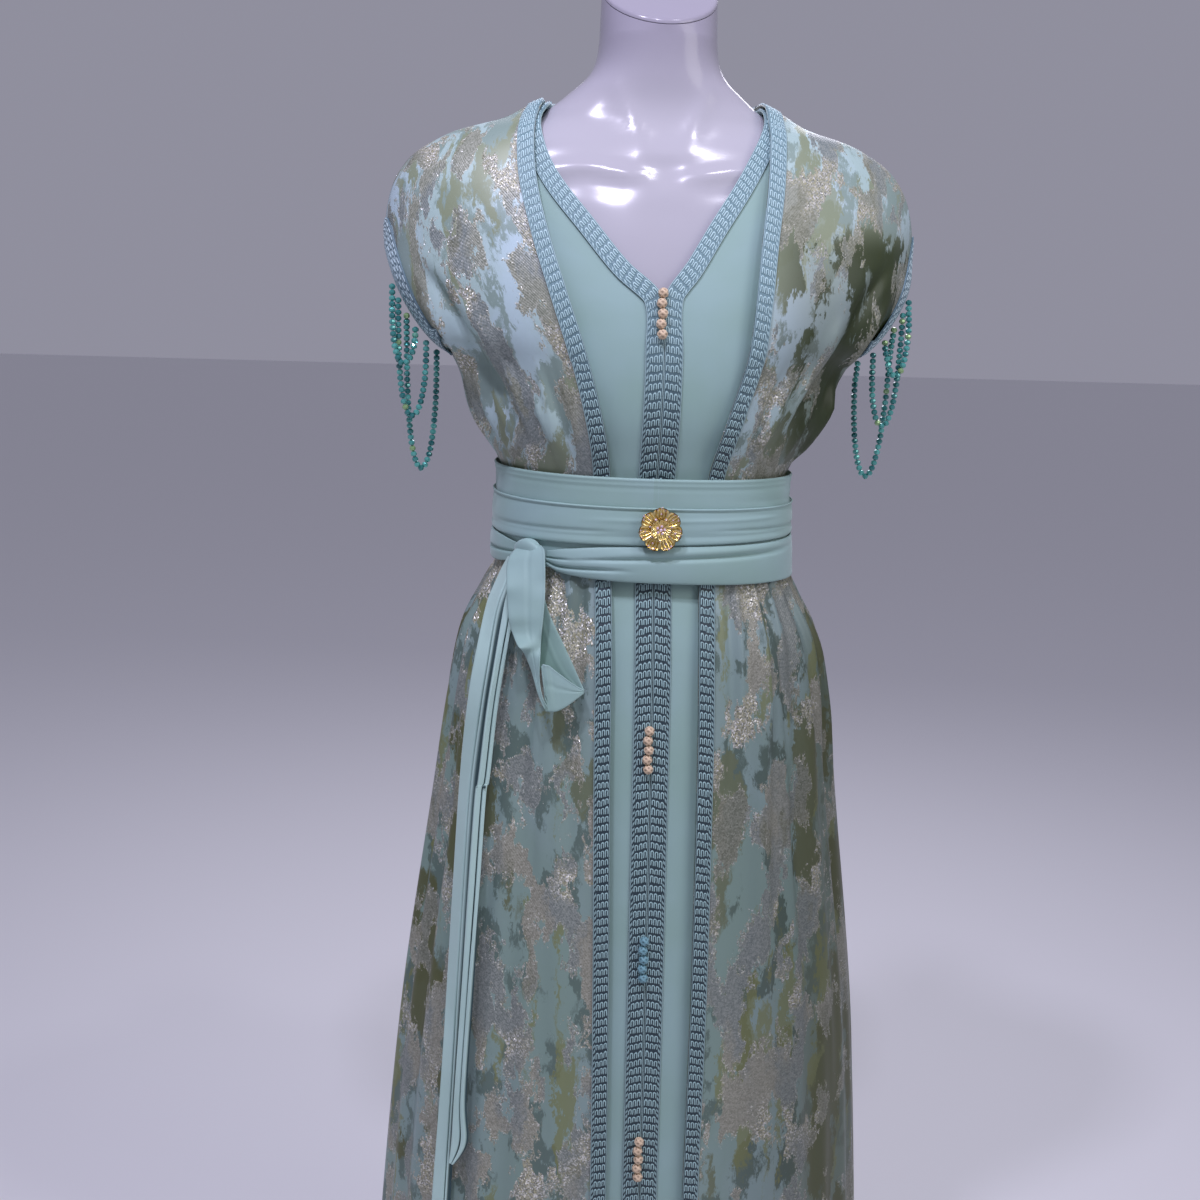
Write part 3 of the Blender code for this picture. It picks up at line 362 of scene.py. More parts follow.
metal_level = raised(noise_level(0.0, 1.0, 0.40, 30.0, 3.5), 0.030, at_belt)
metal_level = raised(metal_level, -0.030, edge_olive_and_shade, arm_olive_and_shade, arm_olive_and_shade)
metal = step_up(metal_level, 0.500, 0.515)
rim = times(step_up(metal_level, 0.493, 0.503), rest_of(step_up(metal_level, 0.510, 0.535)))
moss = raised(noise_level(3.7, 1.0, 0.30, 21.0, 2.5), 0.045, side_olive_and_shade, arm_olive_and_shade, arm_olive_and_shade, arm_olive_and_shade, edge_olive_and_shade)
moss = step_up(moss, 0.590, 0.625)
streak = raised(noise_level(9.4, 1.9, 0.12, 30.0, 1.5), 0.030, side_olive_and_shade, below_belt)
streak = step_up(streak, 0.620, 0.670)
# More dimmer patches at the sides, as painted shade
shade = step_up(raised(noise_level(7.1, 1.0, 0.42, 32.0, 3.5), 0.035, side_olive_and_shade), 0.520, 0.575)
warm = step_up(noise_level(5.3, 1.2, 0.30, 18.0, 1.0), 0.44, 0.58)
drift = step_up(noise_level(2.2, 1.0, 0.40, 9.0, 2.0), 0.40, 0.60)
# Painted glints: where the metal thread is painted white or gold, most by the sash and on the chest
painted_glints = raised(noise_level(1.3, 1.0, 0.80, 15.0, 1.0), 0.060, at_belt, at_belt, chest)
painted_glints = step_up(painted_glints, 0.56, 0.68)
print("pattern of the brocade made")

# %% [markdown]
# ## Brocade: its colours
# The satin is laid first, then its dimmer patches, streaks and moss, each blended in
# by its own pattern, with painted light on the chest and painted shade at the sides,
# under the arm and on the wearer's left side. The metal thread is beige and silver.
# Tiny cells, each with a brightness of its own, pepper it, and where the glints are
# painted some of them are white or gold.

# %% Colours of the brocade
def by_height(low, high):
    """One tint in the skirt and another on the chest, mostly painted paler there for the light."""
    return blend(chest, tint(*low), tint(*high))


# Painted light and shade: the satin is paler on the chest, and it, the dimmer patches and the moss are darker
# at the sides, under the arm and on the wearer's left side
satin = blend(drift, by_height((140, 162, 159), (186, 208, 216)), by_height((130, 154, 144), (172, 196, 192)))
dim = blend(wearer_left_shade, by_height((88, 107, 98), (130, 150, 140)), tint(64, 80, 66))
side_moss = blend(side_olive_and_shade, tint(108, 117, 90), tint(88, 92, 54))
arm_moss = blend(arm_olive_and_shade, tint(136, 146, 118), tint(44, 56, 8))
moss_tint = blend(maths("MAXIMUM", chest, arm_olive_and_shade), side_moss, arm_moss)
# Patches laid over the satin; under the arm and at the skirt's edge it is painted darker, as shade
for area, share, colour in (
    (shade, 0.85, dim),
    (arm_olive_and_shade, 0.60, tint(128, 142, 128)),
    (edge_olive_and_shade, 0.70, tint(104, 118, 100)),
    (streak, 0.75, by_height((124, 128, 74), (138, 146, 112))),
    (moss, 0.95, moss_tint),
):
    satin = blend(times(area, share), satin, colour)

cells = node(tree, "TexVoronoi", {"Vector": place, "Scale": 760.0}).outputs["Color"]
spark = node(tree, "SeparateColor", {0: cells}).outputs
bright = step_up(spark[0], 0.62, 0.94)
silver = by_height((122, 132, 126), (126, 138, 136))
plain_metal = blend(warm, silver, by_height((150, 149, 130), (144, 149, 130)))
plain_metal = blend(times(moss, 0.7), plain_metal, tint(108, 110, 80))
pepper = blend(spark[0], tint(74, 82, 80), tint(192, 194, 186))
plain_metal = blend(0.30, plain_metal, pepper)
thread = blend(spark[2], tint(92, 98, 94), tint(156, 160, 154))
# Painted glints: the brightest cells are painted white, and some gold
thread = blend(bright, thread, tint(255, 255, 255))
thread = blend(times(spark[1], 0.40), thread, tint(226, 216, 150))
# Painted glints in the glittering areas and along the rims of the metal patches
painted_glint_share = maths("MAXIMUM", painted_glints, times(rim, 0.8))
metal_colour = blend(times(painted_glint_share, 0.85), plain_metal, thread)
colour = blend(metal, satin, metal_colour)
# The painted shade on the wearer's left side, deeper below the sash
left_shade_depth = raised(0.24, 0.12, below_belt)
paint_with(shader, blend(times(wearer_left_shade, left_shade_depth), colour, tint(34, 40, 26)))
print("colours of the brocade made")

# %% [markdown]
# ## Brocade: its gloss
# Satin is smooth and metal thread flashes, because each bit of thread lies at its own
# angle. So the bright cells are smoother and more metallic than the rest, and every
# cell tilts the light's direction a little. A fine slanting wave is the twill.

# %% Gloss of the brocade
flash = times(metal, times(painted_glint_share, bright))
tree.links.new(maths("ADD", 0.06, times(flash, 0.22)), shader.inputs["Metallic"])
tree.links.new(maths("SUBTRACT", 0.42, times(flash, 0.20)), shader.inputs["Roughness"])
twill = node(tree, "Mapping", {0: place, 2: (0, 0, 0.6)}).outputs[0]
twill = node(tree, "TexWave", {"Vector": twill, "Scale": 150.0, "Distortion": 1.0}).outputs[0]
tilt = maths("ADD", times(metal, 0.18), times(flash, 0.9))
flake = moved(node(tree, "NewGeometry").outputs["Normal"], push_from(cells, tilt))
flake = vector_maths("NORMALIZE", {0: flake})
roughen(shader, times(twill, metal), 0.25, 0.0005, Normal=flake)
print("made", brocade.name, "with", len(tree.nodes), "nodes")

# %% [markdown]
# ## Braid
# Every edge is bound with a corded braid: rows of small upright loops between two
# straight edge cords, pale on dark, and a slanting cord beside one of them. A loop is
# drawn in each little cell of the braid, from the distance to an arch in millimetres.
# Because it is worked out for every point, it stays crisp at any distance. It is
# painted darker low on the garment than high on it, as shade.

# %% Braid
LOOPS_ACROSS = 3
LOOP_LENGTH = 0.0080
LOOP_SHARE = 0.80
EDGE_CORD = 0.07
# The cell's width, the height where its arch begins and the arch's radius, in millimetres
LOOP_ACROSS = 4.0
ARCH_HEIGHT = 5.3
ARCH_RADIUS = 1.15


def make_braid(name, lit_top_thread, shaded_low_thread, lit_top_groove, shaded_low_groove):
    """Pale cords on a dark ground, painted lighter high on the garment than low on it, as light and shade."""
    material, tree, shader = new_material(name, Roughness=0.5, Sheen_Weight=0.15)
    width_share, length, _ = parts_of(map_place(tree, "braid"))
    waver = node(tree, "SeparateColor", {0: noise(map_place(tree), 130.0)[1]}).outputs

    def less(a, b):
        return maths("SUBTRACT", a, b)

    def plus(a, b):
        return maths("ADD", a, b)

    def inside(value, low, high, soft):
        return times(step_up(value, low, low + soft), rest_of(step_up(value, high - soft, high)))

    share = plus(width_share, times(less(waver[0], 0.5), 0.06))
    along = plus(maths("DIVIDE", length, LOOP_LENGTH), times(less(waver[1], 0.5), 0.5))
    across = times(maths("DIVIDE", less(share, EDGE_CORD), LOOP_SHARE - EDGE_CORD), float(LOOPS_ACROSS))
    cell_x = times(less(maths("FRACT", across), 0.5), LOOP_ACROSS)
    cell_y = times(maths("FRACT", plus(along, times(across, 0.10))), LOOP_LENGTH * 1000.0)
    above = maths("MAXIMUM", less(cell_y, ARCH_HEIGHT), 0.0)
    reach = maths("SQRT", plus(times(cell_x, cell_x), times(above, above)))
    off_path = maths("ABSOLUTE", less(reach, ARCH_RADIUS))
    loops = rest_of(step_up(off_path, 0.34, 0.72))
    loops = times(loops, step_up(cell_y, 0.5, 1.3))
    loops = times(loops, inside(share, EDGE_CORD, LOOP_SHARE, 0.02))
    slant = maths("FRACT", plus(times(along, 1.5), times(share, 4.0)))
    slant = step_up(maths("ABSOLUTE", less(slant, 0.5)), 0.14, 0.32)
    slant = times(slant, times(inside(share, LOOP_SHARE, 0.94, 0.02), 0.7))
    cords = maths("MAXIMUM", inside(width_share, 0.002, 0.055, 0.015), inside(width_share, 0.945, 1.0, 0.015))
    cord = maths("MAXIMUM", maths("MAXIMUM", loops, slant), cords)
    # Painted shade: lower down, the threads and the ground between them are painted darker
    painted_low_shade = rest_of(step_up(parts_of(solid_place(tree))[2], 1.14, 1.34))
    groove_shade = blend(painted_low_shade, lit_top_groove, shaded_low_groove)
    thread = blend(painted_low_shade, lit_top_thread, shaded_low_thread)
    paint_with(shader, blend(cord, groove_shade, thread))
    roughen(shader, cord, 0.7, 0.0010)
    return material


braid = make_braid("aqua_braid_cord", tint(186, 218, 222), tint(166, 200, 200),
                   tint(108, 140, 148), tint(34, 54, 62))
# The cuff braid lies in shade, so its copy is painted lighter, as painted light
lit_cuff_thread, lit_cuff_groove = tint(206, 232, 238), tint(90, 118, 130)
lit_cuff_cord = make_braid("aqua_cuff_cord", lit_cuff_thread, lit_cuff_thread, lit_cuff_groove, lit_cuff_groove)
print("made", braid.name, "and", lit_cuff_cord.name)

# %% [markdown]
# ## The shape as level sections
# Each layer of cloth is described by level sections: at a height, how wide it is, how
# far it comes forward and how far back. A tailor's form is measured in the same way,
# with a tape at each height. A section is a slightly squared oval.

# %% Level sections
SQUARENESS = 2.3
UNDERARM = 1.240
SEAM = 0.0009
QUARTER_TURN = 0.5 * math.pi
FULL_TURN = 2.0 * math.pi


def in_metres(table):
    """A table in millimetres, as a tailor writes it, in metres."""
    return tuple(tuple(value / 1000.0 for value in row) for row in table)


# Height, half the width, depth in front, depth behind
ROBE_LEVELS = in_metres((
    (20, 266, 212, 199), (340, 247, 193, 183), (600, 226, 177, 167), (820, 197, 157, 148),
    (920, 183.5, 147, 137), (980, 171, 139, 126), (1020, 153, 129, 110), (1045, 141, 122.5, 100),
    (1090, 139.5, 121.5, 99), (1138, 139.8, 121.5, 99.5), (1165, 156, 131, 106),
    (1190, 169, 136.5, 112), (1240, 187.5, 138.5, 119), (1254.4, 211.8, 137.5, 121),
    (1279, 233.7, 134.5, 124), (1309, 248.3, 128.5, 126.5), (1340, 249.5, 119.5, 126.5),
    (1362, 249.7, 112, 124.5), (1386, 245.5, 102, 120.5), (1403, 238.5, 94, 116),
    (1420.5, 225, 85.5, 109), (1434, 205, 79, 101.5), (1443, 185, 75, 96), (1454.4, 145, 69.5, 88),
    (1467.3, 120, 64.5, 79), (1475.8, 100, 61.5, 73), (1482.3, 88, 60, 69),
))
DRESS_LEVELS = in_metres((
    (17, 250, 205, 188), (340, 234, 187, 172), (600, 214, 171, 156), (820, 186, 151, 138),
    (920, 173, 141, 127), (980, 161, 133, 117), (1020, 146, 123.5, 103.5), (1045, 135.5, 117, 94.5),
    (1090, 134, 116, 93.5), (1138, 134.5, 116, 94), (1190, 150, 130, 104), (1240, 163, 132.5, 111),
    (1279, 170, 129, 115.5), (1309, 174, 123, 117.5), (1340, 180, 114, 117.5),
    (1362, 186, 106.5, 115.5), (1386, 191, 96.5, 111.5), (1403, 192.5, 88.5, 107),
    (1420.5, 190.5, 80, 100), (1436, 180, 73, 92.5), (1449, 143, 67, 84), (1462, 118, 62, 75),
    (1471.5, 98, 59, 69), (1483, 83, 57, 65), (1490, 78, 56.5, 62.5),
))
print("sections", len(ROBE_LEVELS), len(DRESS_LEVELS))

# %% [markdown]
# ## Reading a shape from a table
# The rows of a table are joined by smooth curves, so that a few rows give a shape
# without corners at any height between them.

# %% Reading a table
def mix(low, high, share):
    """The value a share of the way from low to high."""
    return low + (high - low) * share


def ease(share):
    """A share of 0 to 1 eased at both ends, for numbers and arrays."""
    share = np.clip(share, 0.0, 1.0)
    return share * share * (3.0 - 2.0 * share)


def read_table(table, height):
    """The columns of a table at a height, on smooth curves through its rows."""
    last = len(table) - 1
    height = min(max(height, table[0][0]), table[last][0])
    i = 0
    while i < last - 1 and table[i + 1][0] < height:
        i += 1
    low, high = table[i], table[i + 1]
    before, after = table[max(i - 1, 0)], table[min(i + 2, last)]
    span = high[0] - low[0]
    t = (height - low[0]) / span
    values = []
    for k in range(1, len(low)):
        slope_low = (high[k] - before[k]) / (high[0] - before[0]) * span
        slope_high = (after[k] - low[k]) / (after[0] - low[0]) * span
        values.append(
            low[k] * (2 * t**3 - 3 * t**2 + 1) + slope_low * (t**3 - 2 * t**2 + t)
            + high[k] * (3 * t**2 - 2 * t**3) + slope_high * (t**3 - t**2))
    return values


print("waist", [round(v, 4) for v in read_table(ROBE_LEVELS, 1.09)])

# %% [markdown]
# ## Points of a layer
# A point of the cloth can be asked for as it is seen from the front, at a distance
# from the middle, or by going round the section. The shoulder line, where front and
# back meet, is followed by its own length, so that stations on it are evenly spaced.

# %% Points of a layer
def skin_point(levels, x, height, facing):
    """The point of a layer at a place seen from the front (-1) or the back (1)."""
    half, front, back = read_table(levels, height)
    depth = front if facing < 0 else back
    part = min(1.0, abs(x) / half)
    return Vector((x, facing * depth * (1.0 - part**SQUARENESS) ** (1.0 / SQUARENESS), height))


def ring_point(levels, angle, height, facing, grow=0.0):
    """The point of a level section at an angle from the middle, 90 at a side."""
    half, front, back = read_table(levels, height)
    depth = front if facing < 0 else back
    power = 2.0 / SQUARENESS
    across = math.copysign(abs(math.sin(angle)) ** power, math.sin(angle))
    along = max(0.0, math.cos(angle)) ** power
    return Vector(((half + grow) * across, facing * (depth + grow) * along, height))


def round_point(levels, turn, height, grow):
    """The point of a level section at a turn from the front, all the way round."""
    facing = -1 if math.cos(turn) >= 0 else 1
    return ring_point(levels, math.asin(math.sin(turn)), height, facing, grow)


def height_at(levels, reach, low, high):
    """The height where a layer's shoulder line is at a distance from the middle."""
    for _ in range(40):
        middle = 0.5 * (low + high)
        if read_table(levels, middle)[0] > reach:
            low = middle
        else:
            high = middle
    return 0.5 * (low + high)


def shoulder_line(levels, reach, tip):
    """A function from 0 at the neck to 1 at the tip, along the shoulder line."""
    steps = 80
    top = height_at(levels, reach, tip, levels[-1][0])
    points = []
    for i in range(steps + 1):
        height = mix(top, tip, i / steps)
        points.append(Vector((read_table(levels, height)[0], 0.0, height)))
    lengths = [0.0]
    for a, b in zip(points, points[1:]):
        lengths.append(lengths[-1] + (b - a).length)

    def at(share):
        want = share * lengths[-1]
        i = 0
        while i < steps - 1 and lengths[i + 1] < want:
            i += 1
        part = (want - lengths[i]) / (lengths[i + 1] - lengths[i])
        return points[i].lerp(points[i + 1], part)

    return at, lengths[-1]


def seam_shift(point, facing):
    """A point at a side or shoulder seam, kept clear of the panel across it."""
    if abs(point.y) < 0.5 * SEAM:
        point.y = 0.5 * SEAM * facing
    return point


print("shoulder of the robe", round(height_at(ROBE_LEVELS, 0.150, 1.34, 1.48), 4))

# %% [markdown]
# ## Edges and long folds
# The front edges of the robe and of the dress are drawn as lines on the sections, a
# little different at the left and at the right, as cloth hangs. The long folds of the
# skirt are rounded ridges that start under the sash and open towards the hem.

# %% Edges and folds
CUFF_BRAID = 0.017
# Height, then how far the edge is from the middle at the left and at the right
ROBE_EDGE = in_metres((
    (20, 34, 37), (480, 35, 38.5), (680, 37, 40.5), (890, 40, 40.5), (1025, 40.5, 39.5),
    (1140, 44.7, 44.7), (1193, 55, 57.5), (1245, 69.5, 72.5), (1295, 86.5, 78.5), (1348, 103.5, 84),
    (1396, 114.5, 91), (1433, 116.5, 95), (1457, 113, 96.5), (1476, 104, 97),
))
DRESS_EDGE = in_metres((
    (17, 2.5, -2), (1200, 2.5, -2), (1250, 2.5, -2), (1300, 6, -2), (1327, 35, 16.5),
    (1361, 63, 37.5), (1400, 93.5, 63.5), (1430, 107, 81), (1455, 109, 93.5), (1471.5, 98.5, 96),
))
# Folds of the skirt: share of the panel's width, depth, width as a share, top
FRONT_FOLDS = (
    (0.2, 0.004, 0.05, 1.03), (0.33, 0.0055, 0.055, 1.03), (0.47, 0.005, 0.055, 1.025),
    (0.61, 0.0065, 0.06, 1.025), (0.75, 0.0055, 0.055, 1.02), (0.88, 0.006, 0.055, 1.02),
)
BACK_FOLDS = (
    (0.1, 0.006, 0.035, 1.02), (0.22, 0.007, 0.04, 1.03), (0.35, 0.006, 0.04, 1.03),
    (0.5, 0.008, 0.045, 1.03), (0.65, 0.006, 0.04, 1.03), (0.78, 0.007, 0.04, 1.03),
    (0.9, 0.006, 0.035, 1.02),
)
FOLD_GROWTH = 0.9


def fold_depth(folds, share, height):
    """How far a fold stands out at a share of a panel's width."""
    total = 0.0
    for place, depth, width, top in folds:
        drop = max(0.0, top - height)
        rise = float(ease(drop / 0.06)) * (1.0 + FOLD_GROWTH * drop)
        total += depth * rise * math.exp(-(((share - place) / width) ** 2))
    return total


def swell(point, depth):
    """A point moved straight away from the upright axis."""
    flat = Vector((point.x, point.y, 0.0))
    return point + flat.normalized() * depth


# "last" is the number of intervals across a panel, "braid" the width of its braid,
# "tip" the height where its shoulder line ends and "drop" that of its neck behind
ROBE = SimpleNamespace(
    levels=ROBE_LEVELS, edge=ROBE_EDGE, hem=0.020, last=16, braid=0.015, tip=1.340,
    folds=FRONT_FOLDS, back_last=24, back_folds=BACK_FOLDS, neck=5, drop=1.4690)
DRESS = SimpleNamespace(
    levels=DRESS_LEVELS, edge=DRESS_EDGE, hem=0.017, last=7, braid=0.0165, tip=1.432,
    folds=(), back_last=14, back_folds=(), neck=3, drop=1.4840)
print("folds", len(FRONT_FOLDS), len(BACK_FOLDS))

# %% [markdown]
# ## A front panel as a grid
# A front panel runs from its front edge to the side seam, and above the underarm on
# to the shoulder line, where the cap sleeve is cut in one with the body. A grid of
# points, row by row, is easy to offset, to crease and to edge with braid, because
# every point knows its neighbours.

# %% Front panel
def quick(w):
    """A share of the way, quick at first and slow at the end."""
    return math.sin(w * QUARTER_TURN)


def half_quick(w):
    """A share of the way, a little quicker at first."""
    return 0.5 * (w + quick(w))


def half_slow(w):
    """A share of the way, a little slower at first."""
    return 0.5 * (w + 1.0 - math.cos(w * QUARTER_TURN))


def beside(path, i, width):
    """The point beside a path in the plane of X and Z, on the side away from -X."""
    before = path[max(i - 1, 0)]
    after = path[min(i + 1, len(path) - 1)]
    run = (after[0] - before[0], after[1] - before[1])
    length = math.hypot(*run)
    return (path[i][0] + run[1] / length * width, path[i][1] - run[0] / length * width)


def front_panel(layer, side, rows, rise, stations):
    """Rows of points of a front panel, up to the shoulder line.

    Station 0 is the front edge, 1 the inner line of its braid and last the side. The
    panel is made for x above zero, and the left one is mirrored at the end.
    """
    levels, edge, last, width = layer.levels, layer.edge, layer.last, layer.braid
    column = 0 if side == "left" else 1
    shares = [max(0.0, (t - 1.0) / (last - 1.0)) for t in stations]

    def edge_at(height):
        return read_table(edge, height)[column]

    def inner_angle(start, height):
        return math.asin(((start + width) / read_table(levels, height)[0]) ** (SQUARENESS / 2.0))

    grid = []
    for height in rows:
        start = edge_at(height)
        inner = inner_angle(start, height)
        row = []
        for t, share in zip(stations, shares):
            if t < 1.0:
                point = skin_point(levels, start + width * t, height, -1)
            else:
                point = ring_point(levels, mix(inner, QUARTER_TURN, share), height, -1)
            point = swell(point, fold_depth(layer.folds, share, height) * min(1.0, t))
            row.append(seam_shift(point, -1))
        grid.append(row)

    reach = edge[-1][1 + column]
    shoulder, length = shoulder_line(levels, reach, layer.tip)
    start = edge_at(UNDERARM)
    inner = inner_angle(start, UNDERARM)
    base = []
    for t, share in zip(stations, shares):
        if t < 1.0:
            base.append((start + width * t, UNDERARM))
        else:
            base.append((ring_point(levels, mix(inner, QUARTER_TURN, share), UNDERARM, -1).x, UNDERARM))
    base_line = (ring_point(levels, inner, UNDERARM, -1).x, UNDERARM)
    cuff_share = 1.0 - CUFF_BRAID / length
    path = [(edge_at(UNDERARM - 0.02), UNDERARM - 0.02), (start, UNDERARM)]
    for w in rise:
        z = mix(UNDERARM, shoulder(0.0).z, quick(w))
        path.append((edge_at(z) if w < 1.0 else reach, z))

    def top_share(t):
        if t <= 1.0:
            return width / length * t
        if t <= last - 1.0:
            return mix(width / length, cuff_share, (t - 1.0) / (last - 2.0))
        return mix(cuff_share, 1.0, t - (last - 1.0))

    def plain_point(t, w, foot):
        chest = (w, quick(w))
        arm = (half_quick(w), half_slow(w))
        part = (t / last) ** 2.5
        top = shoulder(top_share(t))
        return (mix(foot[0], top.x, mix(chest[0], arm[0], part)),
                mix(foot[1], top.z, mix(chest[1], arm[1], part)))

    for k, w in enumerate(rise):
        line = plain_point(1.0, w, base_line)
        inner_point = beside(path, k + 2, width)
        inner_point = (inner_point[0], min(inner_point[1], line[1]))
        if w == 1.0:
            inner_point = (shoulder(top_share(1.0)).x, shoulder(top_share(1.0)).z)
        off = (inner_point[0] - line[0], inner_point[1] - line[1])
        row = []
        for t, foot in zip(stations, base):
            if t < 1.0:
                x, z = mix(path[k + 2][0], inner_point[0], t), mix(path[k + 2][1], inner_point[1], t)
            else:
                fade = ((last - t) / (last - 1.0)) ** 2
                x, z = plain_point(t, w, foot)
                x, z = x + off[0] * fade, z + off[1] * fade
            point = shoulder(top_share(t)).copy() if w == 1.0 else skin_point(levels, x, z, -1)
            row.append(seam_shift(point, -1))
        grid.append(row)
    return np.array(grid) * np.array((-1.0 if side == "left" else 1.0, 1.0, 1.0))


print("front panel ready")

# %% [markdown]
# ## A back panel as a grid
# A back panel goes from one side seam to the other. Its top follows the shoulder
# lines, and between them it dips to the neckline.

# %% Back panel
def back_panel(layer, rows, rise, stations):
    """Rows of points of a back panel, from the seam at -X to the seam at +X."""
    levels, last, neck = layer.levels, layer.back_last, layer.neck
    reaches = layer.edge[-1][1:]
    middle = last / 2.0
    grid = []
    for height in rows:
        row = []
        for t in stations:
            share = t / last
            angle = mix(-QUARTER_TURN, QUARTER_TURN, share)
            point = ring_point(levels, angle, height, 1)
            row.append(seam_shift(swell(point, fold_depth(layer.back_folds, share, height)), 1))
        grid.append(row)
    lines = [shoulder_line(levels, reach, layer.tip) for reach in reaches]
    tops = []
    for t in stations:
        away = abs(t - middle)
        sign = 1.0 if t > middle else -1.0
        side = 1 if t > middle else 0
        shoulder, length = lines[side]
        if away <= neck:
            turn = away / neck * QUARTER_TURN
            x = reaches[side] * math.sin(turn)
            z = mix(shoulder(0.0).z, layer.drop, math.cos(turn) ** 2)
            tops.append(skin_point(levels, sign * x, z, 1))
        else:
            past, steps = away - neck, middle - neck
            cuff_share = 1.0 - CUFF_BRAID / length
            if past <= steps - 1.0:
                share = past / (steps - 1.0) * cuff_share
            else:
                share = mix(cuff_share, 1.0, past - (steps - 1.0))
            top = shoulder(share)
            tops.append(Vector((sign * top.x, 0.0, top.z)))
    base = [ring_point(levels, mix(-QUARTER_TURN, QUARTER_TURN, t / last), UNDERARM, 1) for t in stations]
    for w in rise:
        row = []
        for t, foot, top in zip(stations, base, tops):
            away = abs(t - middle)
            flat = float(ease((away - neck + 2.0) / 3.0))
            part = (away / middle) ** 2.5
            go_z = mix(mix(w, quick(w), flat), half_slow(w), part)
            go_x = mix(w, half_quick(w), part)
            x, z = mix(foot.x, top.x, go_x), mix(foot.z, top.z, go_z)
            point = top.copy() if w == 1.0 else skin_point(levels, x, z, 1)
            row.append(seam_shift(point, 1))
        grid.append(row)
    return np.array(grid)


print("back panel ready")

# %% [markdown]
# ## Measuring a grid
# The normals of a grid are worked out from its neighbours, which lets us press
# creases into it and lift a braid off it. Its lengths give the cut of the cloth.

# %% Measuring a grid
def normals_of(grid, closed=False):
    """The outward unit normals of a grid."""
    up = np.gradient(grid, axis=0)
    if closed:
        across = np.roll(grid, -1, axis=1) - np.roll(grid, 1, axis=1)
    else:
        across = np.gradient(grid, axis=1)
    normal = np.cross(across, up)
    normal /= np.maximum(np.linalg.norm(normal, axis=2, keepdims=True), 1e-12)
    middle = grid[len(grid) // 2, grid.shape[1] // 2]
    if normal[len(grid) // 2, grid.shape[1] // 2] @ np.array((middle[0], middle[1], 0.0)) < 0:
        normal = -normal
    return normal


def lengths_along(grid, axis):
    """How far each point is along its row (axis 1) or its column (axis 0)."""
    step = np.linalg.norm(np.diff(grid, axis=axis), axis=2)
    total = np.cumsum(step, axis=axis)
    return np.insert(total, 0, 0.0, axis=axis)


def spread(counts):
    """Stations between whole numbers, with a count of cells in each interval."""
    stations = [0.0]
    for i, count in enumerate(counts):
        stations += [i + (k + 1) / count for k in range(count)]
    return stations


def shares_to_one(count):
    """Even shares up to 1, without 0."""
    return [(k + 1) / count for k in range(count)]


print("stations", spread([1, 2]))

# %% [markdown]
# ## From a grid to cloth
# A grid becomes a mesh with one four-sided face in each cell. Two texture maps go
# with it: "cloth" measures the cloth in metres, so that a weave keeps its scale on
# every piece, and "braid" measures a braid across and along. A Solidify modifier
# gives the cloth its thickness behind the face that shows. Each finished piece has
# its material, hangs from the figure's root and hides the measured piece whose place
# it takes.

# %% Grids into meshes
def grid_faces(rows, columns, closed=False):
    """The four corners of every cell of a grid."""
    index = np.arange(rows * columns).reshape(rows, columns)
    left = index if closed else index[:, :-1]
    after = np.roll(index, -1, axis=1) if closed else index[:, 1:]
    return np.stack((left[:-1], after[:-1], after[1:], left[1:]), axis=-1).reshape(-1, 4)


def grid_object(name, grid, material, closed=False, wall=0.0, maps=(), outward=None):
    """An object from a grid, with its texture maps and its wall."""
    faces = grid_faces(*grid.shape[:2], closed)
    points = grid.reshape(-1, 3)
    corner = points[faces[:, 0]]
    normal = np.cross(points[faces[:, 1]] - corner, points[faces[:, 3]] - corner)
    out = normals_of(grid, closed) if outward is None else outward
    if (normal * out.reshape(-1, 3)[faces[:, 0]]).sum() < 0:
        faces = faces[:, ::-1]
    mesh = bpy.data.meshes.new(name)
    mesh.from_pydata(points.tolist(), [], faces.tolist())
    for map_name, (u, v) in dict(maps).items():
        layer = mesh.uv_layers.new(name=map_name)
        loops = faces.reshape(-1)
        values = np.stack((u.reshape(-1)[loops], v.reshape(-1)[loops]), axis=-1)
        layer.data.foreach_set("uv", values.astype(np.float32).reshape(-1))
    mesh.shade_smooth()
    mesh.materials.append(material)
    piece = put_in(name, mesh)
    if wall:
        solid = piece.modifiers.new("wall", "SOLIDIFY")
        solid.thickness = wall
        solid.offset = -1.0
    return piece


def cloth_map(grid):
    """The map that measures a grid in metres, across and along."""
    return {"cloth": (lengths_along(grid, 1), lengths_along(grid, 0))}


def dress_with(piece, label):
    """A piece that rides on the figure, in the place of a measured one."""
    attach(piece, "root")
    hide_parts(label)


def layer_pieces(kind, grids, cuts, material, wall):
    """The pieces of a layer of the kaftan, one for each of its grids."""
    pieces = {}
    for name, grid in grids.items():
        label = f"{kind}_back" if name == "back" else f"{kind}_front_{name}"
        pieces[name] = grid_object(label + "_cloth", grid, material, wall=wall, maps=cuts[name])
        dress_with(pieces[name], label)
    return pieces


print("mesh helpers ready")

# %% [markdown]
# ## Creases
# A crease is a soft ridge or trough along a line. Its table row says where it starts
# and ends, how deep it is and how wide. The main ones are listed one by one, uneven in
# length, depth and spacing as cloth is. Just below and above the sash the cloth is
# drawn in, and there a seeded random draw scatters short gathers.

# %% Crease tables
def creased(grid, share, height, arc, table):
    """How far each point stands out because of the creases."""
    total = np.zeros(grid.shape[:2])
    for top_share, top, low_share, low, depth, width in table:
        along = np.clip((top - height) / (top - low), 0.0, 1.0)
        path = mix(top_share, low_share, along)
        away = (share - path) * arc
        fade = ease(along * 5.0) * ease((1.0 - along) * 2.5)
        total += depth * fade * np.exp(-((away / width) ** 2))
    return total


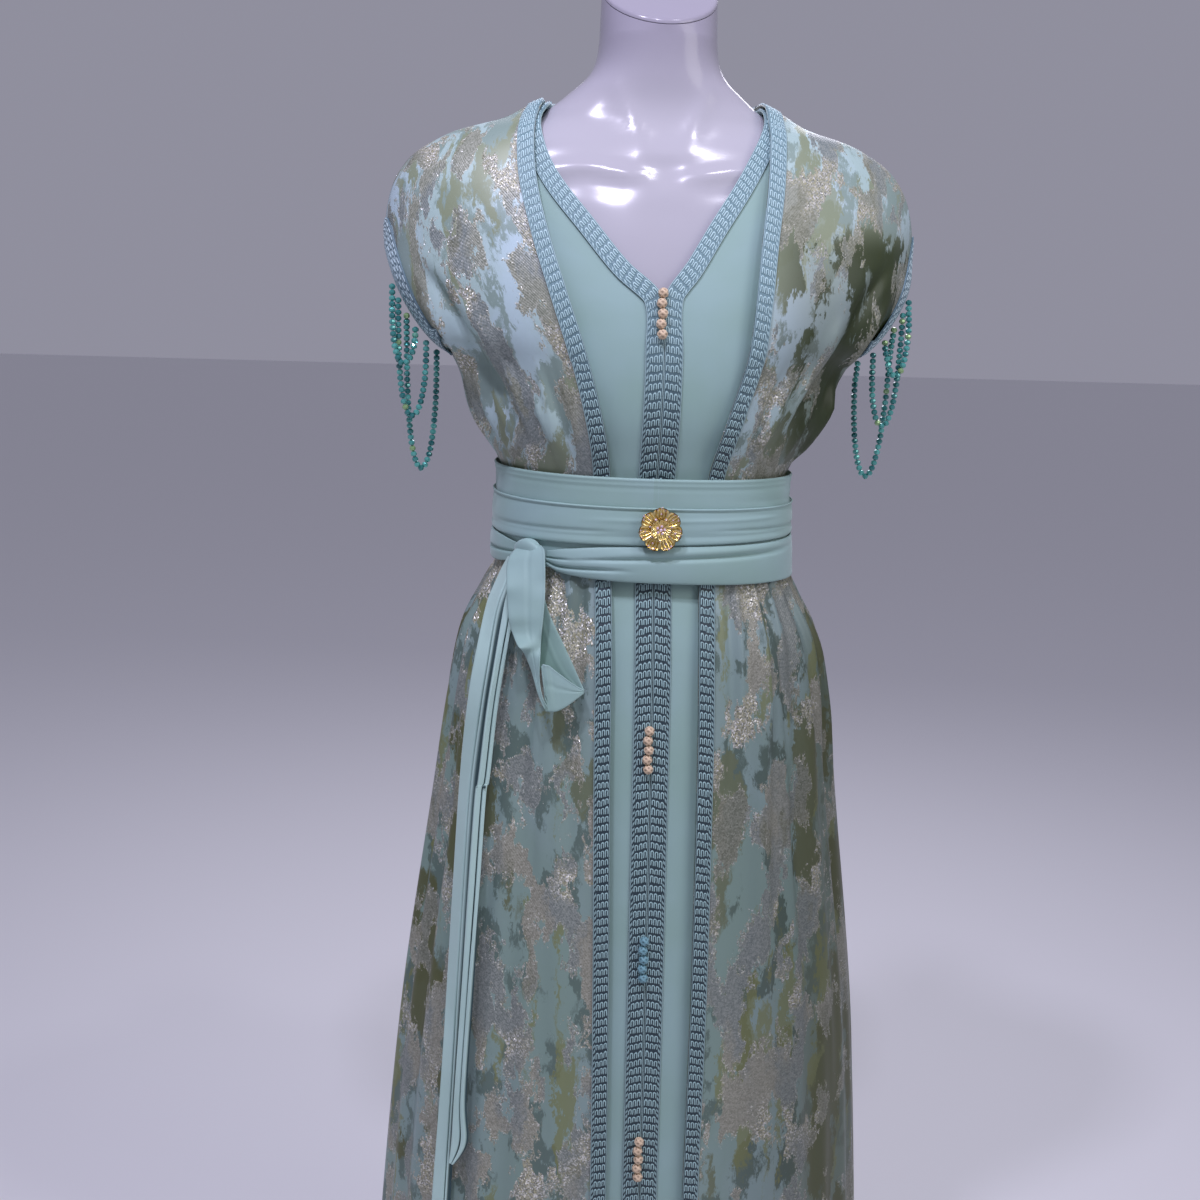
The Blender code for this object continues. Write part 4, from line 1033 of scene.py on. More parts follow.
def gathers(seed, count, low_share, high_share, top, shortest, longest, depth, width, spread_out):
    """Short gathers side by side, with chance in length, depth and place."""
    draw = random.Random(seed)
    table = []
    for i in range(count):
        place = mix(low_share, high_share, (i + draw.uniform(0.15, 0.85)) / count)
        reach = draw.uniform(shortest, longest)
        stand = depth * draw.uniform(0.5, 1.0) * (1 if i % 2 else -0.6)
        lean = (place - 0.5) * spread_out + draw.uniform(-0.012, 0.012)
        wide = width * draw.uniform(0.75, 1.35)
        table.append((place, top, place + lean, top - reach, stand, wide))
    return tuple(table)


print("creases ready")

# %% [markdown]
# ## The robe's creases
# Above the sash the creases run slanting from the shoulder and the armhole towards
# the waist, and below it they fall with the long folds. A few rows for each panel are
# enough to tell the left one from the right one.

# %% Robe creases
# Share of the panel's width and height at the top, the same at the bottom, depth, width
LEFT_CREASES = (
    (0.78, 1.33, 0.3, 1.15, -0.0078, 0.0106), (0.1, 1.05, 0.08, 0.7, -0.0026, 0.0075),
    (0.86, 1.3, 0.52, 1.145, 0.0049, 0.0106), (0.55, 1.3, 0.12, 1.15, 0.0041, 0.0106),
    (0.93, 1.27, 0.8, 1.145, -0.0047, 0.0088), (0.36, 1.26, 0.2, 1.14, -0.0035, 0.007),
    (0.15, 1.235, 0.1, 1.141, -0.0036, 0.0048), (0.24, 1.215, 0.18, 1.141, 0.003, 0.005),
    (0.68, 1.225, 0.62, 1.14, -0.0041, 0.007), (0.26, 1.02, 0.18, 0.62, -0.0045, 0.0096),
    (0.4, 0.99, 0.44, 0.48, 0.0053, 0.0112), (0.55, 1.01, 0.52, 0.56, -0.0051, 0.0096),
    (0.68, 0.96, 0.72, 0.3, -0.0045, 0.0112), (0.81, 1.0, 0.84, 0.42, -0.0054, 0.0096),
    (0.12, 0.9, 0.1, 0.3, 0.0033, 0.0096),
)
RIGHT_CREASES = (
    (0.14, 1.245, 0.1, 1.141, -0.0034, 0.0048), (0.26, 1.225, 0.2, 1.141, -0.0032, 0.0055),
    (0.7, 1.34, 0.28, 1.15, -0.0054, 0.0123), (0.82, 1.31, 0.5, 1.145, 0.0057, 0.0106),
    (0.9, 1.29, 0.72, 1.145, -0.006, 0.0088), (0.46, 1.29, 0.14, 1.15, 0.0039, 0.0106),
    (0.34, 1.23, 0.28, 1.14, -0.0036, 0.007), (0.6, 1.22, 0.62, 1.14, 0.0039, 0.007),
    (0.22, 1.01, 0.15, 0.54, 0.0045, 0.0096), (0.36, 1.02, 0.38, 0.64, -0.0054, 0.0104),
    (0.5, 0.98, 0.55, 0.38, 0.0045, 0.0112), (0.65, 1.01, 0.66, 0.6, -0.0051, 0.0096),
    (0.79, 0.98, 0.83, 0.32, 0.0048, 0.0104), (0.9, 0.94, 0.92, 0.5, -0.0042, 0.0096),
)
BACK_CREASES = (
    (0.3, 1.4, 0.4, 1.15, -0.0041, 0.0141), (0.7, 1.39, 0.58, 1.15, 0.0041, 0.0141),
    (0.18, 1.3, 0.3, 1.145, -0.0046, 0.0106), (0.84, 1.31, 0.72, 1.145, -0.0043, 0.0106),
    (0.5, 1.32, 0.5, 1.15, 0.0035, 0.0158), (0.16, 1.01, 0.15, 0.52, -0.0045, 0.0112),
    (0.28, 0.99, 0.29, 0.4, 0.0048, 0.0112), (0.43, 1.01, 0.42, 0.56, -0.0051, 0.0112),
    (0.57, 0.97, 0.58, 0.3, -0.0045, 0.0112), (0.72, 1.0, 0.71, 0.48, 0.0045, 0.0112),
    (0.85, 0.98, 0.86, 0.56, -0.0048, 0.0104),
)


print("creases", len(LEFT_CREASES), len(RIGHT_CREASES), len(BACK_CREASES))

# %% [markdown]
# ## The robe
# The two fronts and the back of the robe are three pieces of brocade. Each is a fine
# grid on the measured shape, pressed with its creases. The pattern starts at another
# place on each piece, as it would on pieces cut from one length of cloth.

# %% Robe panels
ROBE_WALL = 0.0012
ROBE_ROWS = [ROBE.hem + i * 0.0080 for i in range(152)] + [UNDERARM]
ROBE_RISE = shares_to_one(36)
# Cells across the braid's strip, then in each of the other intervals
FRONT_STATIONS = spread([3] + [5] * (ROBE.last - 1))
BACK_STATIONS = [t / 5.0 for t in range(ROBE.back_last * 5 + 1)]
PATTERN_START = {"left": 0.0, "right": 2.3, "back": 4.1}


def press(grid, share, table, edge_fade):
    """A grid with its creases, held flat at its seams and its braids."""
    share = np.broadcast_to(share, grid.shape[:2])
    height = grid[:, :, 2]
    arc = lengths_along(grid, 1)[:, -1:]
    depth = creased(grid, share, height, arc, table)
    depth *= edge_fade(share) * ease((UNDERARM + 0.20 - height) / 0.08)
    return grid + normals_of(grid) * depth[:, :, None]


def front_fade(share):
    """Nothing at the braid and at the side seam, all of it between."""
    return ease(share / 0.08) * ease((1.0 - share) / 0.06)


def back_fade(share):
    """Nothing at the two side seams, all of it between."""
    return ease(share / 0.03) * ease((1.0 - share) / 0.03)


def front_shares(stations, last):
    """How far across a front panel each station is, from the braid's inner line on."""
    return np.array([max(0.0, (t - 1.0) / (last - 1.0)) for t in stations])


robe_share = front_shares(FRONT_STATIONS, ROBE.last)
robe_grids = {}
for side, table, seed in (("left", LEFT_CREASES, 11), ("right", RIGHT_CREASES, 23)):
    grid = front_panel(ROBE, side, ROBE_ROWS, ROBE_RISE, FRONT_STATIONS)
    below = gathers(seed, 15, 0.04, 0.97, 1.066, 0.10, 0.30, 0.0052, 0.0050, 0.04)
    above = gathers(seed + 1, 12, 0.06, 0.96, 1.240, 0.08, 0.11, 0.0036, 0.0048, 0.0)
    robe_grids[side] = press(grid, robe_share, table + below + above, front_fade)
grid = back_panel(ROBE, ROBE_ROWS, ROBE_RISE, BACK_STATIONS)
below = gathers(37, 28, 0.02, 0.98, 1.066, 0.10, 0.30, 0.0050, 0.0052, 0.02)
above = gathers(41, 24, 0.03, 0.97, 1.240, 0.08, 0.11, 0.0034, 0.0050, 0.0)
back_share = np.array(BACK_STATIONS) / ROBE.back_last
robe_grids["back"] = press(grid, back_share, BACK_CREASES + below + above, back_fade)

robe_cuts = {}
for name, grid in robe_grids.items():
    across, down = cloth_map(grid)["cloth"]
    if name == "back":
        across = across - across[:, across.shape[1] // 2, None]
    robe_cuts[name] = {"cloth": (across + PATTERN_START[name], down)}
robe_pieces = layer_pieces("robe", robe_grids, robe_cuts, brocade, ROBE_WALL)
print("robe panels", {name: grid.shape[:2] for name, grid in robe_grids.items()})

# %% [markdown]
# ## The dress
# The dress lies under the robe and shows at the neck and down the middle. It is made
# in the same way from its own sections, with long soft folds and no gathers.

# %% Dress panels
DRESS_WALL = 0.0010
DRESS_ROWS = [DRESS.hem + i * 0.0120 for i in range(101)] + [1.229, UNDERARM]
DRESS_RISE = shares_to_one(24)
DRESS_FRONT_STATIONS = spread([3] + [7] * (DRESS.last - 1))
DRESS_BACK_STATIONS = [t / 4.0 for t in range(DRESS.back_last * 4 + 1)]
DRESS_CREASES = (
    (0.16, 1.225, 0.1, 1.12, -0.0016, 0.007), (0.3, 1.215, 0.22, 1.12, 0.0016, 0.007),
    (0.1, 1.06, 0.06, 0.45, -0.0022, 0.01), (0.2, 1.0, 0.16, 0.3, 0.002, 0.012),
)

dress_share = front_shares(DRESS_FRONT_STATIONS, DRESS.last)
dress_grids = {}
for side in ("left", "right"):
    grid = front_panel(DRESS, side, DRESS_ROWS, DRESS_RISE, DRESS_FRONT_STATIONS)
    dress_grids[side] = press(grid, dress_share, DRESS_CREASES, front_fade)
dress_grids["back"] = back_panel(DRESS, DRESS_ROWS, DRESS_RISE, DRESS_BACK_STATIONS)
dress_cuts = {name: cloth_map(grid) for name, grid in dress_grids.items()}
dress_pieces = layer_pieces("dress", dress_grids, dress_cuts, crepe, DRESS_WALL)
print("dress panels", {name: grid.shape[:2] for name, grid in dress_grids.items()})

# %% [markdown]
# ## Braids
# A braid is a narrow grid on the same surface, lifted by the thickness of the cloth
# that it is sewn to. Its cords stand up from it as rounded bumps in rows, of the same
# length as the loops in its colour. The first and last columns turn down to the
# cloth, so that the braid has an edge to see from the side.

# %% Braid relief
BRAID_LIFT = 0.0010
CORD_HEIGHT = 0.0008
BRAID_CELLS = 20
BRAID_STEP = LOOP_LENGTH / 6.0


def cord_relief(across, along):
    """The height of the cords, 0 to 1, at shares across and metres along."""
    place = (across - EDGE_CORD) / (LOOP_SHARE - EDGE_CORD) * LOOPS_ACROSS
    cell_x = place % 1.0 - 0.5
    cell_y = (along / LOOP_LENGTH + 0.08 * place) % 1.0
    drop = np.abs(cell_x / 0.50) ** 2.4 + np.abs((cell_y - 0.56) / 0.44) ** 2.4
    drop = 1.0 - ease((drop - 0.4) / 0.7)
    inside = (across > EDGE_CORD) & (across < LOOP_SHARE)
    rim = np.where(across > LOOP_SHARE, 0.55, 0.0)
    return np.maximum(drop * inside, np.maximum(rim, (across < 0.05) * 0.9))


def braid_grid(base):
    """A strip's grid raised into cords, with its sides turned down."""
    rows, columns = base.shape[:2]
    normal = normals_of(base)
    across = np.broadcast_to(np.linspace(0.0, 1.0, columns), (rows, columns))
    along = np.broadcast_to(lengths_along(base, 0).mean(axis=1, keepdims=True), (rows, columns))
    height = BRAID_LIFT + CORD_HEIGHT * (0.35 + 0.65 * cord_relief(across, along))
    top = base + normal * height[:, :, None]
    left = base[:, :1] + normal[:, :1] * 0.0001
    right_side = base[:, -1:] + normal[:, -1:] * 0.0001
    full = np.concatenate((left, top, right_side), axis=1)
    u = np.concatenate((across[:, :1], across, across[:, -1:]), axis=1)
    v = np.concatenate((along[:, :1], along, along[:, -1:]), axis=1)
    out = np.concatenate((normal[:, :1], normal, normal[:, -1:]), axis=1)
    return full, {"braid": (u, v), "cloth": (u * ROBE.braid, v)}, out


def join_pieces(name, pieces):
    """Several objects joined into one of that name."""
    with bpy.context.temp_override(
        active_object=pieces[0], object=pieces[0],
        selected_objects=pieces, selected_editable_objects=pieces,
    ):
        bpy.ops.object.join()
    pieces[0].name = name
    pieces[0].data.name = name
    return pieces[0]


def even_rows(low, high, step):
    """Heights from low to high, a step apart."""
    count = round((high - low) / step)
    return [mix(low, high, i / count) for i in range(count)]


def points_at(line, lengths, wanted):
    """The points of a line at the wanted ones of its lengths."""
    return np.stack([np.interp(wanted, lengths, line[:, k]) for k in range(line.shape[1])], axis=1)


def along_grid(grid, step):
    """A grid with rows an even step apart along its middle column."""
    length = lengths_along(grid, 0)[:, grid.shape[1] // 2]
    count = max(2, round(length[-1] / step))
    wanted = np.linspace(0.0, length[-1], count + 1)
    flat = grid.reshape(len(grid), -1)
    return points_at(flat, length, wanted).reshape(len(wanted), *grid.shape[1:])


print("cord height", BRAID_LIFT + CORD_HEIGHT)

# %% [markdown]
# ## The braids of the robe and the dress
# Up each front edge goes a strip from the hem to the shoulder, and one more lies
# round the back of the neck. The three of a garment are joined to one braid.

# %% Robe and dress braids
BRAID_STATIONS = [i / BRAID_CELLS for i in range(BRAID_CELLS + 1)]
NECK_CELLS = 120
NECK_RISE = [0.70 + 0.30 * k / 60 for k in range(61)]
braid_parts = {}
for kind, layer in (("robe", ROBE), ("dress", DRESS)):
    rows = even_rows(layer.hem, UNDERARM, BRAID_STEP) + [UNDERARM]
    strips = {}
    for side in ("left", "right"):
        strips[side] = front_panel(layer, side, rows, shares_to_one(80), BRAID_STATIONS)
    middle = layer.back_last / 2.0
    stations = [mix(middle - layer.neck, middle + layer.neck, i / NECK_CELLS) for i in range(NECK_CELLS + 1)]
    strip = back_panel(layer, [UNDERARM], NECK_RISE, stations)[1:].transpose(1, 0, 2)
    cut = []
    for row, run in zip(strip, lengths_along(strip, 1)):
        wanted = run[-1] - layer.braid + layer.braid * np.linspace(0.0, 1.0, BRAID_CELLS + 1)
        cut.append(points_at(row, run, wanted))
    strips["neck"] = np.array(cut)
    braid_parts[kind] = []
    for part, strip in strips.items():
        full, maps, out = braid_grid(along_grid(strip, BRAID_STEP))
        braid_parts[kind].append(grid_object(f"{kind}_braid_{part}", full, braid, maps=maps, outward=out))
braids = {}
for kind, parts in braid_parts.items():
    braids[kind] = join_pieces(f"{kind}_braid_cord", parts)
    dress_with(braids[kind], f"{kind}_braid")
print("braids", {kind: len(piece.data.polygons) for kind, piece in braids.items()})

# %% [markdown]
# ## The cuff braids
# The cap sleeves end in a wider braid round the armhole: up the front of the arm,
# over the tip of the shoulder and down the back. Its grid is cut from the ends of the
# front and back panels and joined at the shoulder.

# %% Cuff braids
CUFF_SPLIT = 24
CUFF_STATIONS = [ROBE.last - 5.0 + i / CUFF_SPLIT for i in range(5 * CUFF_SPLIT + 1)]
BACK_CUFF = [i / CUFF_SPLIT for i in range(4 * CUFF_SPLIT + 1)]
CUFF_RISE = shares_to_one(60)
CUFF_WIDE = 0.0205
CUFF_LONGEST = 0.032


def edge_strip(grid, width, longest):
    """The strip of a width along the last column, square to it, as a grid."""
    edge = grid[:, -1]
    run = np.gradient(edge, axis=0)
    run /= np.linalg.norm(run, axis=1, keepdims=True)
    inward = grid[:, -6] - edge
    inward /= np.linalg.norm(inward, axis=1, keepdims=True)
    lean = np.sqrt(np.clip(1.0 - (run * inward).sum(axis=1) ** 2, 0.05, 1.0))
    back = lengths_along(grid[:, ::-1], 1)
    cut = []
    for row, far, slant in zip(grid[:, ::-1], back, lean):
        wanted = min(width / slant, longest) * np.linspace(1.0, 0.0, BRAID_CELLS + 1)
        cut.append(points_at(row, far, wanted))
    return np.array(cut)


for side in ("left", "right"):
    half_front = front_panel(ROBE, side, [UNDERARM], CUFF_RISE, CUFF_STATIONS)
    stations = BACK_CUFF[::-1] if side == "left" else [ROBE.back_last - t for t in BACK_CUFF[::-1]]
    half_back = back_panel(ROBE, [UNDERARM], CUFF_RISE, stations)
    half_front = edge_strip(half_front, CUFF_WIDE, CUFF_LONGEST)
    half_back = edge_strip(half_back, CUFF_WIDE, CUFF_LONGEST)
    top = (half_front[-1:] + half_back[-1:]) / 2.0
    strip = np.concatenate((half_front[:-1], top, half_back[-2::-1]))
    full, maps, out = braid_grid(along_grid(strip, BRAID_STEP))
    piece = grid_object(f"cuff_braid_{side}_cord", full, lit_cuff_cord, maps=maps, outward=out)
    dress_with(piece, f"cuff_braid_{side}")

# %% [markdown]
# ## The sash
# The sash is a long piece of crepe, folded into bands and wound round the waist. The
# upper band is plain with a turned top edge, and the middle band lies over it with a
# sharp fold above and below. Each band is a closed grid round the waist. Its profile
# table gives how far it stands off at shares of its height, and long shallow creases
# run part of the way round.

# %% Sash tables
SASH_WALL = 0.0011
SASH_AROUND = 240
# Height, how much it rises for each metre towards +X, how far it stands off
SASH_UPPER = (
    (1.05, -0.03, 0.004), (1.0785, 0.012, 0.0041), (1.096, 0.0, 0.0044), (1.1125, -0.012, 0.0048),
    (1.1385, -0.0115, 0.0041),
)
SASH_MIDDLE = (
    (1.0785, 0.012, 0.006), (1.096, 0.0, 0.0072), (1.1125, -0.012, 0.0067),
)
# Profiles: share of the height, how far it stands out beyond the table
UPPER_PROFILE = (
    (0.0, 0.0), (0.3, 0.0), (0.72, 0.0004), (0.86, 0.0007), (0.9, 0.0004), (0.93, 0.0012),
    (0.955, 0.0005), (0.975, 0.0012), (0.99, 0.001), (1.0, -0.0004),
)
MIDDLE_PROFILE = (
    (0.0, 0.0004), (0.03, 0.0014), (0.1, 0.0013), (0.22, 0.0), (0.42, 0.0003), (0.6, 0.0),
    (0.86, -0.0002), (0.92, -0.0004), (0.95, 0.001), (0.98, 0.0013), (1.0, 0.0006),
)
# Long creases: turn where it starts and ends, share of the height there, depth, width
UPPER_CREASES = (
    (-60, 0.55, 70, 0.62, -0.0005, 0.05), (20, 0.78, 150, 0.7, -0.0006, 0.04),
    (120, 0.6, 260, 0.66, -0.0008, 0.05),
)
MIDDLE_CREASES = (
    (-80, 0.3, -8, 0.36, -0.0009, 0.05), (10, 0.4, 120, 0.26, -0.001, 0.05),
    (-30, 0.62, 60, 0.7, 0.0006, 0.06), (100, 0.6, 250, 0.5, -0.001, 0.06),
)


print("sash tables", len(SASH_UPPER), len(SASH_MIDDLE))

# %% [markdown]
# ## The bands of the sash
# A band is made row by row and goes all the way round, so its last column meets its
# first one and no seam shows. A crease that passes the middle of the front is looked
# for at its angle and at the same angle one turn on.

# %% Sash bands
def band_grid(table, profile, long_creases, rows):
    """A band round the waist, with its profile and its long creases."""
    heights = [row[0] for row in table]
    shares = np.linspace(0.0, 1.0, rows)
    stand_out = np.interp(shares, [p[0] for p in profile], [p[1] for p in profile])
    grid = []
    for share, extra in zip(shares, stand_out):
        height = mix(heights[0], heights[-1], share)
        fall, stand = read_table(table, height)
        row = []
        for j in range(SASH_AROUND):
            degrees = 360.0 * j / SASH_AROUND
            turn = math.radians(degrees)
            total = extra
            for start, share_a, end, share_b, depth, width in long_creases:
                for shifted in (degrees, degrees - 360.0):
                    part = (shifted - start) / (end - start)
                    if 0.0 < part < 1.0:
                        away = share - mix(share_a, share_b, part)
                        fade = float(ease(part * 4.0) * ease((1.0 - part) * 4.0))
                        total += depth * fade * math.exp(-((away / width) ** 2))
            near = round_point(ROBE_LEVELS, turn, height, stand)
            row.append(round_point(ROBE_LEVELS, turn, height + fall * near.x, stand + total))
        grid.append(row)
    return np.array(grid)


for name, table, profile, long_creases, rows in (
    ("upper", SASH_UPPER, UPPER_PROFILE, UPPER_CREASES, 64),
    ("middle", SASH_MIDDLE, MIDDLE_PROFILE, MIDDLE_CREASES, 40),
):
    grid = band_grid(table, profile, long_creases, rows)
    piece = grid_object(f"sash_{name}_cloth", grid, crepe, closed=True, wall=SASH_WALL, maps=cloth_map(grid))
    dress_with(piece, f"sash_{name}")

# %% [markdown]
# ## The tie
# The last turn of the sash is drawn together into a soft roll that goes once round
# and into the knot. Its folds run along it and meet where it narrows, so ridges that
# keep their share of its width come together by themselves.

# %% Tie
# Turn from the middle of the front, height of its top and its bottom, how full it is
TIE_TURNS = (
    (-40.5, 1.068, 1.056, 0.0), (-34.0, 1.071, 1.05, 0.0022), (-18.0, 1.0755, 1.046, 0.0035),
    (0.0, 1.0772, 1.0438, 0.0035), (40.0, 1.078, 1.0405, 0.003), (90.0, 1.0788, 1.0385, 0.0025),
    (180.0, 1.0772, 1.042, 0.0025), (262.0, 1.0755, 1.0465, 0.0025), (288.0, 1.075, 1.0495, 0.002),
    (303.5, 1.071, 1.056, 0.0),
)
TIE_STAND = 0.0066
TIE_WALL = 0.0010
# Turns of the two places where folds run into the knot and don't fade
TIE_START = -41.0
TIE_END = 304.0
# Folds of the tie: turn where each starts and ends, share of the width there,
# depth and width as a share
TIE_FOLDS = (
    (-35.0, 0.56, 84.0, 0.8, -0.0027, 0.06), (TIE_START, 0.2, -4.0, 0.32, -0.003, 0.06),
    (TIE_START, 0.52, -27.0, 0.56, -0.0018, 0.05), (-20.0, 0.78, 70.0, 0.93, 0.001, 0.08),
    (92.0, 0.46, 190.0, 0.38, -0.002, 0.055), (120.0, 0.72, 262.0, 0.6, -0.0018, 0.05),
    (176.0, 0.28, 268.0, 0.3, -0.002, 0.05), (262.0, 0.34, TIE_END, 0.44, -0.003, 0.06),
)


def tie_grid(along_steps, across_steps):
    """The roll of the tie, from the knot round the waist and back to it."""
    grid = []
    first, last = TIE_TURNS[0][0], TIE_TURNS[-1][0]
    for i in range(across_steps + 1):
        share = i / across_steps
        row = []
        for j in range(along_steps + 1):
            degrees = mix(first, last, j / along_steps)
            top, bottom, full = read_table(TIE_TURNS, degrees)
            stand = TIE_STAND + full * math.sin(math.pi * share) ** 0.6
            for start, share_a, end, share_b, depth, width in TIE_FOLDS:
                part = (degrees - start) / (end - start)
                if 0.0 <= part <= 1.0:
                    near = 1.0 if start == TIE_START else float(ease(part * 4.0))
                    near_end = 1.0 if end == TIE_END else float(ease((1.0 - part) * 2.0))
                    bow = 0.04 * math.sin(math.pi * part)
                    away = (share - mix(share_a, share_b, part) - bow) / width
                    stand += depth * near * near_end * math.exp(-(away**2))
            stand = max(stand, TIE_STAND - 0.0012)
            row.append(round_point(ROBE_LEVELS, math.radians(degrees), mix(bottom, top, share), stand))
        grid.append(row)
    return np.array(grid)


tie = tie_grid(along_steps=300, across_steps=36)
tie_piece = grid_object("sash_tie_cloth", tie, crepe, wall=TIE_WALL, maps=cloth_map(tie))
dress_with(tie_piece, "sash_tie")
print("tie", tie.shape[:2])

# %% [markdown]
# ## The lines of the bow and the tails
# At the left the sash is tied: a knot, one loop of a bow that hangs open, and two
# long tails. The loop is a ribbon that goes down, turns at the bottom and comes up
# behind. The tails are pressed flat, with the layered edges of the folded cloth along
# them. Each is described by cross lines, from its left edge to its right edge.

# %% Lines of the ribbons
# The left edge's x and height, those of the right edge, and how far it stands off
BOW_LINES = in_metres((
    (-123.9, 1069.9, -104.6, 1073.3, 11.4), (-131.3, 1064, -102, 1069.9, 17),
    (-135.3, 1055.4, -101.7, 1061.7, 21), (-135.9, 1042.8, -101.4, 1048.8, 24),
    (-135.4, 1025.8, -101.8, 1030.4, 24.5), (-133, 1005.4, -103.4, 1011.1, 24.2),
    (-127.9, 991.7, -104.9, 997.2, 24), (-121.9, 984.7, -105.7, 984.2, 23.8),
    (-115, 970.1, -106.4, 972.9, 23.6), (-110.9, 958.2, -106.5, 960.6, 23.5),
    (-107.9, 947.9, -105.4, 951.2, 23.4), (-104.4, 939.8, -103, 942.8, 23.2),
    (-100.6, 932, -99.9, 936.5, 23), (-98.7, 931.1, -104.6, 970, 22),
    (-92.9, 930.9, -99.9, 973, 21.2), (-87.5, 932.4, -91.6, 967, 20.4),
    (-81.3, 936.1, -84.3, 961.6, 19.4), (-76, 940, -77.1, 956.5, 18.2),
    (-70.6, 944.2, -71.2, 952.5, 16.6), (-66.4, 947.4, -66.8, 949.7, 14),
    (-71.9, 945.5, -67.2, 951.2, 11), (-81.6, 946.1, -71.1, 960.3, 9),
    (-94.1, 950.7, -76.5, 972.1, 8), (-103.2, 962.6, -81.9, 983.2, 7.8),
    (-108.5, 976.6, -87.3, 994.2, 7.6), (-112.1, 993.6, -92.7, 1004.4, 7.6),
    (-114.7, 1012.7, -97.5, 1014.8, 8), (-117.3, 1035.3, -101, 1024.9, 9.5),
))
# The row where the loop's inner face begins to show
BOW_INNER = 19
# Height, x of the left edge and of the right edge, how far it stands off
TAIL_LONG = in_metres((
    (1057.2, -133, -125.2, 9.2), (1035, -143, -131, 12), (1010, -153.5, -139, 11.5),
    (965, -164, -146.5, 10), (920, -170.5, -153, 10), (845, -176.5, -162, 10),
    (750, -181.5, -167.5, 10), (650, -186.5, -172.5, 10), (553, -192, -177, 10),
    (425, -200, -183, 10), (300, -206, -188, 10), (270, -196, -190, 10),
))
TAIL_SHORT = in_metres((
    (1056.6, -121.5, -111.5, 14.2), (1038, -132, -120.5, 17.8), (1018, -138, -126, 16.5),
    (965, -146.5, -136.2, 16.5), (920, -153, -142.5, 16.5), (860, -159.4, -148.2, 16.5),
    (845, -162.2, -151.2, 16.5), (750, -168, -156.5, 16.5), (650, -173.5, -163, 16.5),
    (553, -179, -168, 16.5), (510, -181, -166, 16.5), (486, -183, -178, 16.5),
))
# Layers of the folded cloth: share of the width, how far it stands out
LONG_LAYERS = (
    (0.0, -0.001), (0.03, 0.0006), (0.1, 0.0012), (0.66, 0.0018), (0.7, 0.0012), (0.715, -0.0026),
    (0.745, -0.0026), (0.765, 0.0012), (0.85, 0.001), (0.875, -0.003), (1.0, -0.0034),
)
SHORT_LAYERS = (
    (0.0, -0.0012), (0.04, 0.0), (0.1, 0.0006), (0.46, 0.0004), (0.51, -0.0002), (0.535, -0.0028),
    (0.6, -0.0028), (0.625, 0.001), (0.8, 0.0014), (0.9, 0.0012), (0.93, -0.002), (1.0, -0.003),
)
BOW_LAYERS = (
    (0.0, 0.0002), (0.06, 0.0006), (0.46, 0.0008), (0.56, 0.0003), (0.66, 0.0008), (0.94, 0.0006),
    (1.0, 0.001),
)
print("cross lines", len(BOW_LINES), len(TAIL_LONG), len(TAIL_SHORT))

# %% [markdown]
# ## Laying a ribbon on the robe
# The ribbons lie in front of the robe's folds. So each point is set by looking along
# Y for the robe's surface and standing off from it. Where the cloth is steep, a point
# stands off further, but only up to a limit. The depths are then smoothed down the
# ribbon's length, because pressed cloth bridges the small folds under it.

# %% Points in front of the robe
from mathutils.bvhtree import BVHTree

FACING_LEAST = 0.40
SEARCH_STEP = 0.0005


def front_tree(grid):
    """A panel as a tree of faces that lines can be met with."""
    return BVHTree.FromPolygons(grid.reshape(-1, 3).tolist(), grid_faces(*grid.shape[:2]).tolist())


def forward_point(tree, x, height, stand):
    """A point in front of a panel, or of its nearest edge, a distance off it."""
    for i in range(80):
        shift = (i + 1) // 2 * SEARCH_STEP * (-1.0) ** i
        point, normal, _, _ = tree.ray_cast(Vector((x + shift, -1.0, height)), Vector((0.0, 1.0, 0.0)))
        if point is not None:
            break
    return Vector((x, point.y - stand / max(FACING_LEAST, abs(normal.y)), height))


def refined(table, count):
    """A table's rows joined by smooth curves, at even shares of its rows."""
    rows = np.array(table)
    places = np.linspace(0.0, len(rows) - 1.0, count)
    low = np.clip(places.astype(int), 0, len(rows) - 2)
    t = (places - low)[:, None]
    before, after = rows[np.maximum(low - 1, 0)], rows[np.minimum(low + 2, len(rows) - 1)]
    a, b = rows[low], rows[low + 1]
    return 0.5 * (2 * a + (b - before) * t + (2 * before - 5 * a + 4 * b - after) * t**2
                  + (3 * a - before - 3 * b + after) * t**3)


def eased_along(values, width):
    """Values smoothed along their first axis."""
    kernel = np.exp(-(np.arange(-3 * width, 3 * width + 1) / width) ** 2)
    kernel /= kernel.sum()
    padded = np.concatenate((np.repeat(values[:1], 3 * width), values, np.repeat(values[-1:], 3 * width)))
    return np.convolve(padded, kernel, "valid")


coarse = spread([3] + [2] * (ROBE.last - 1))
robe_tree = front_tree(front_panel(ROBE, "left", ROBE_ROWS, ROBE_RISE, coarse))
print("in front of the robe", [round(v, 3) for v in forward_point(robe_tree, -0.12, 0.80, 0.01)])

# %% [markdown]
# ## The bow and the tails
# A ribbon's depth is looked up near its two edges and drawn straight between them,
# and its layers are added on top. Its "fold" map tells the crepe where to paint
# shade: in the grooves between the layers, and on the loop's inner face.

# %% Hanging ribbons
EDGE_SHARES = (0.12, 0.88)
RIBBON_WALL = 0.0010


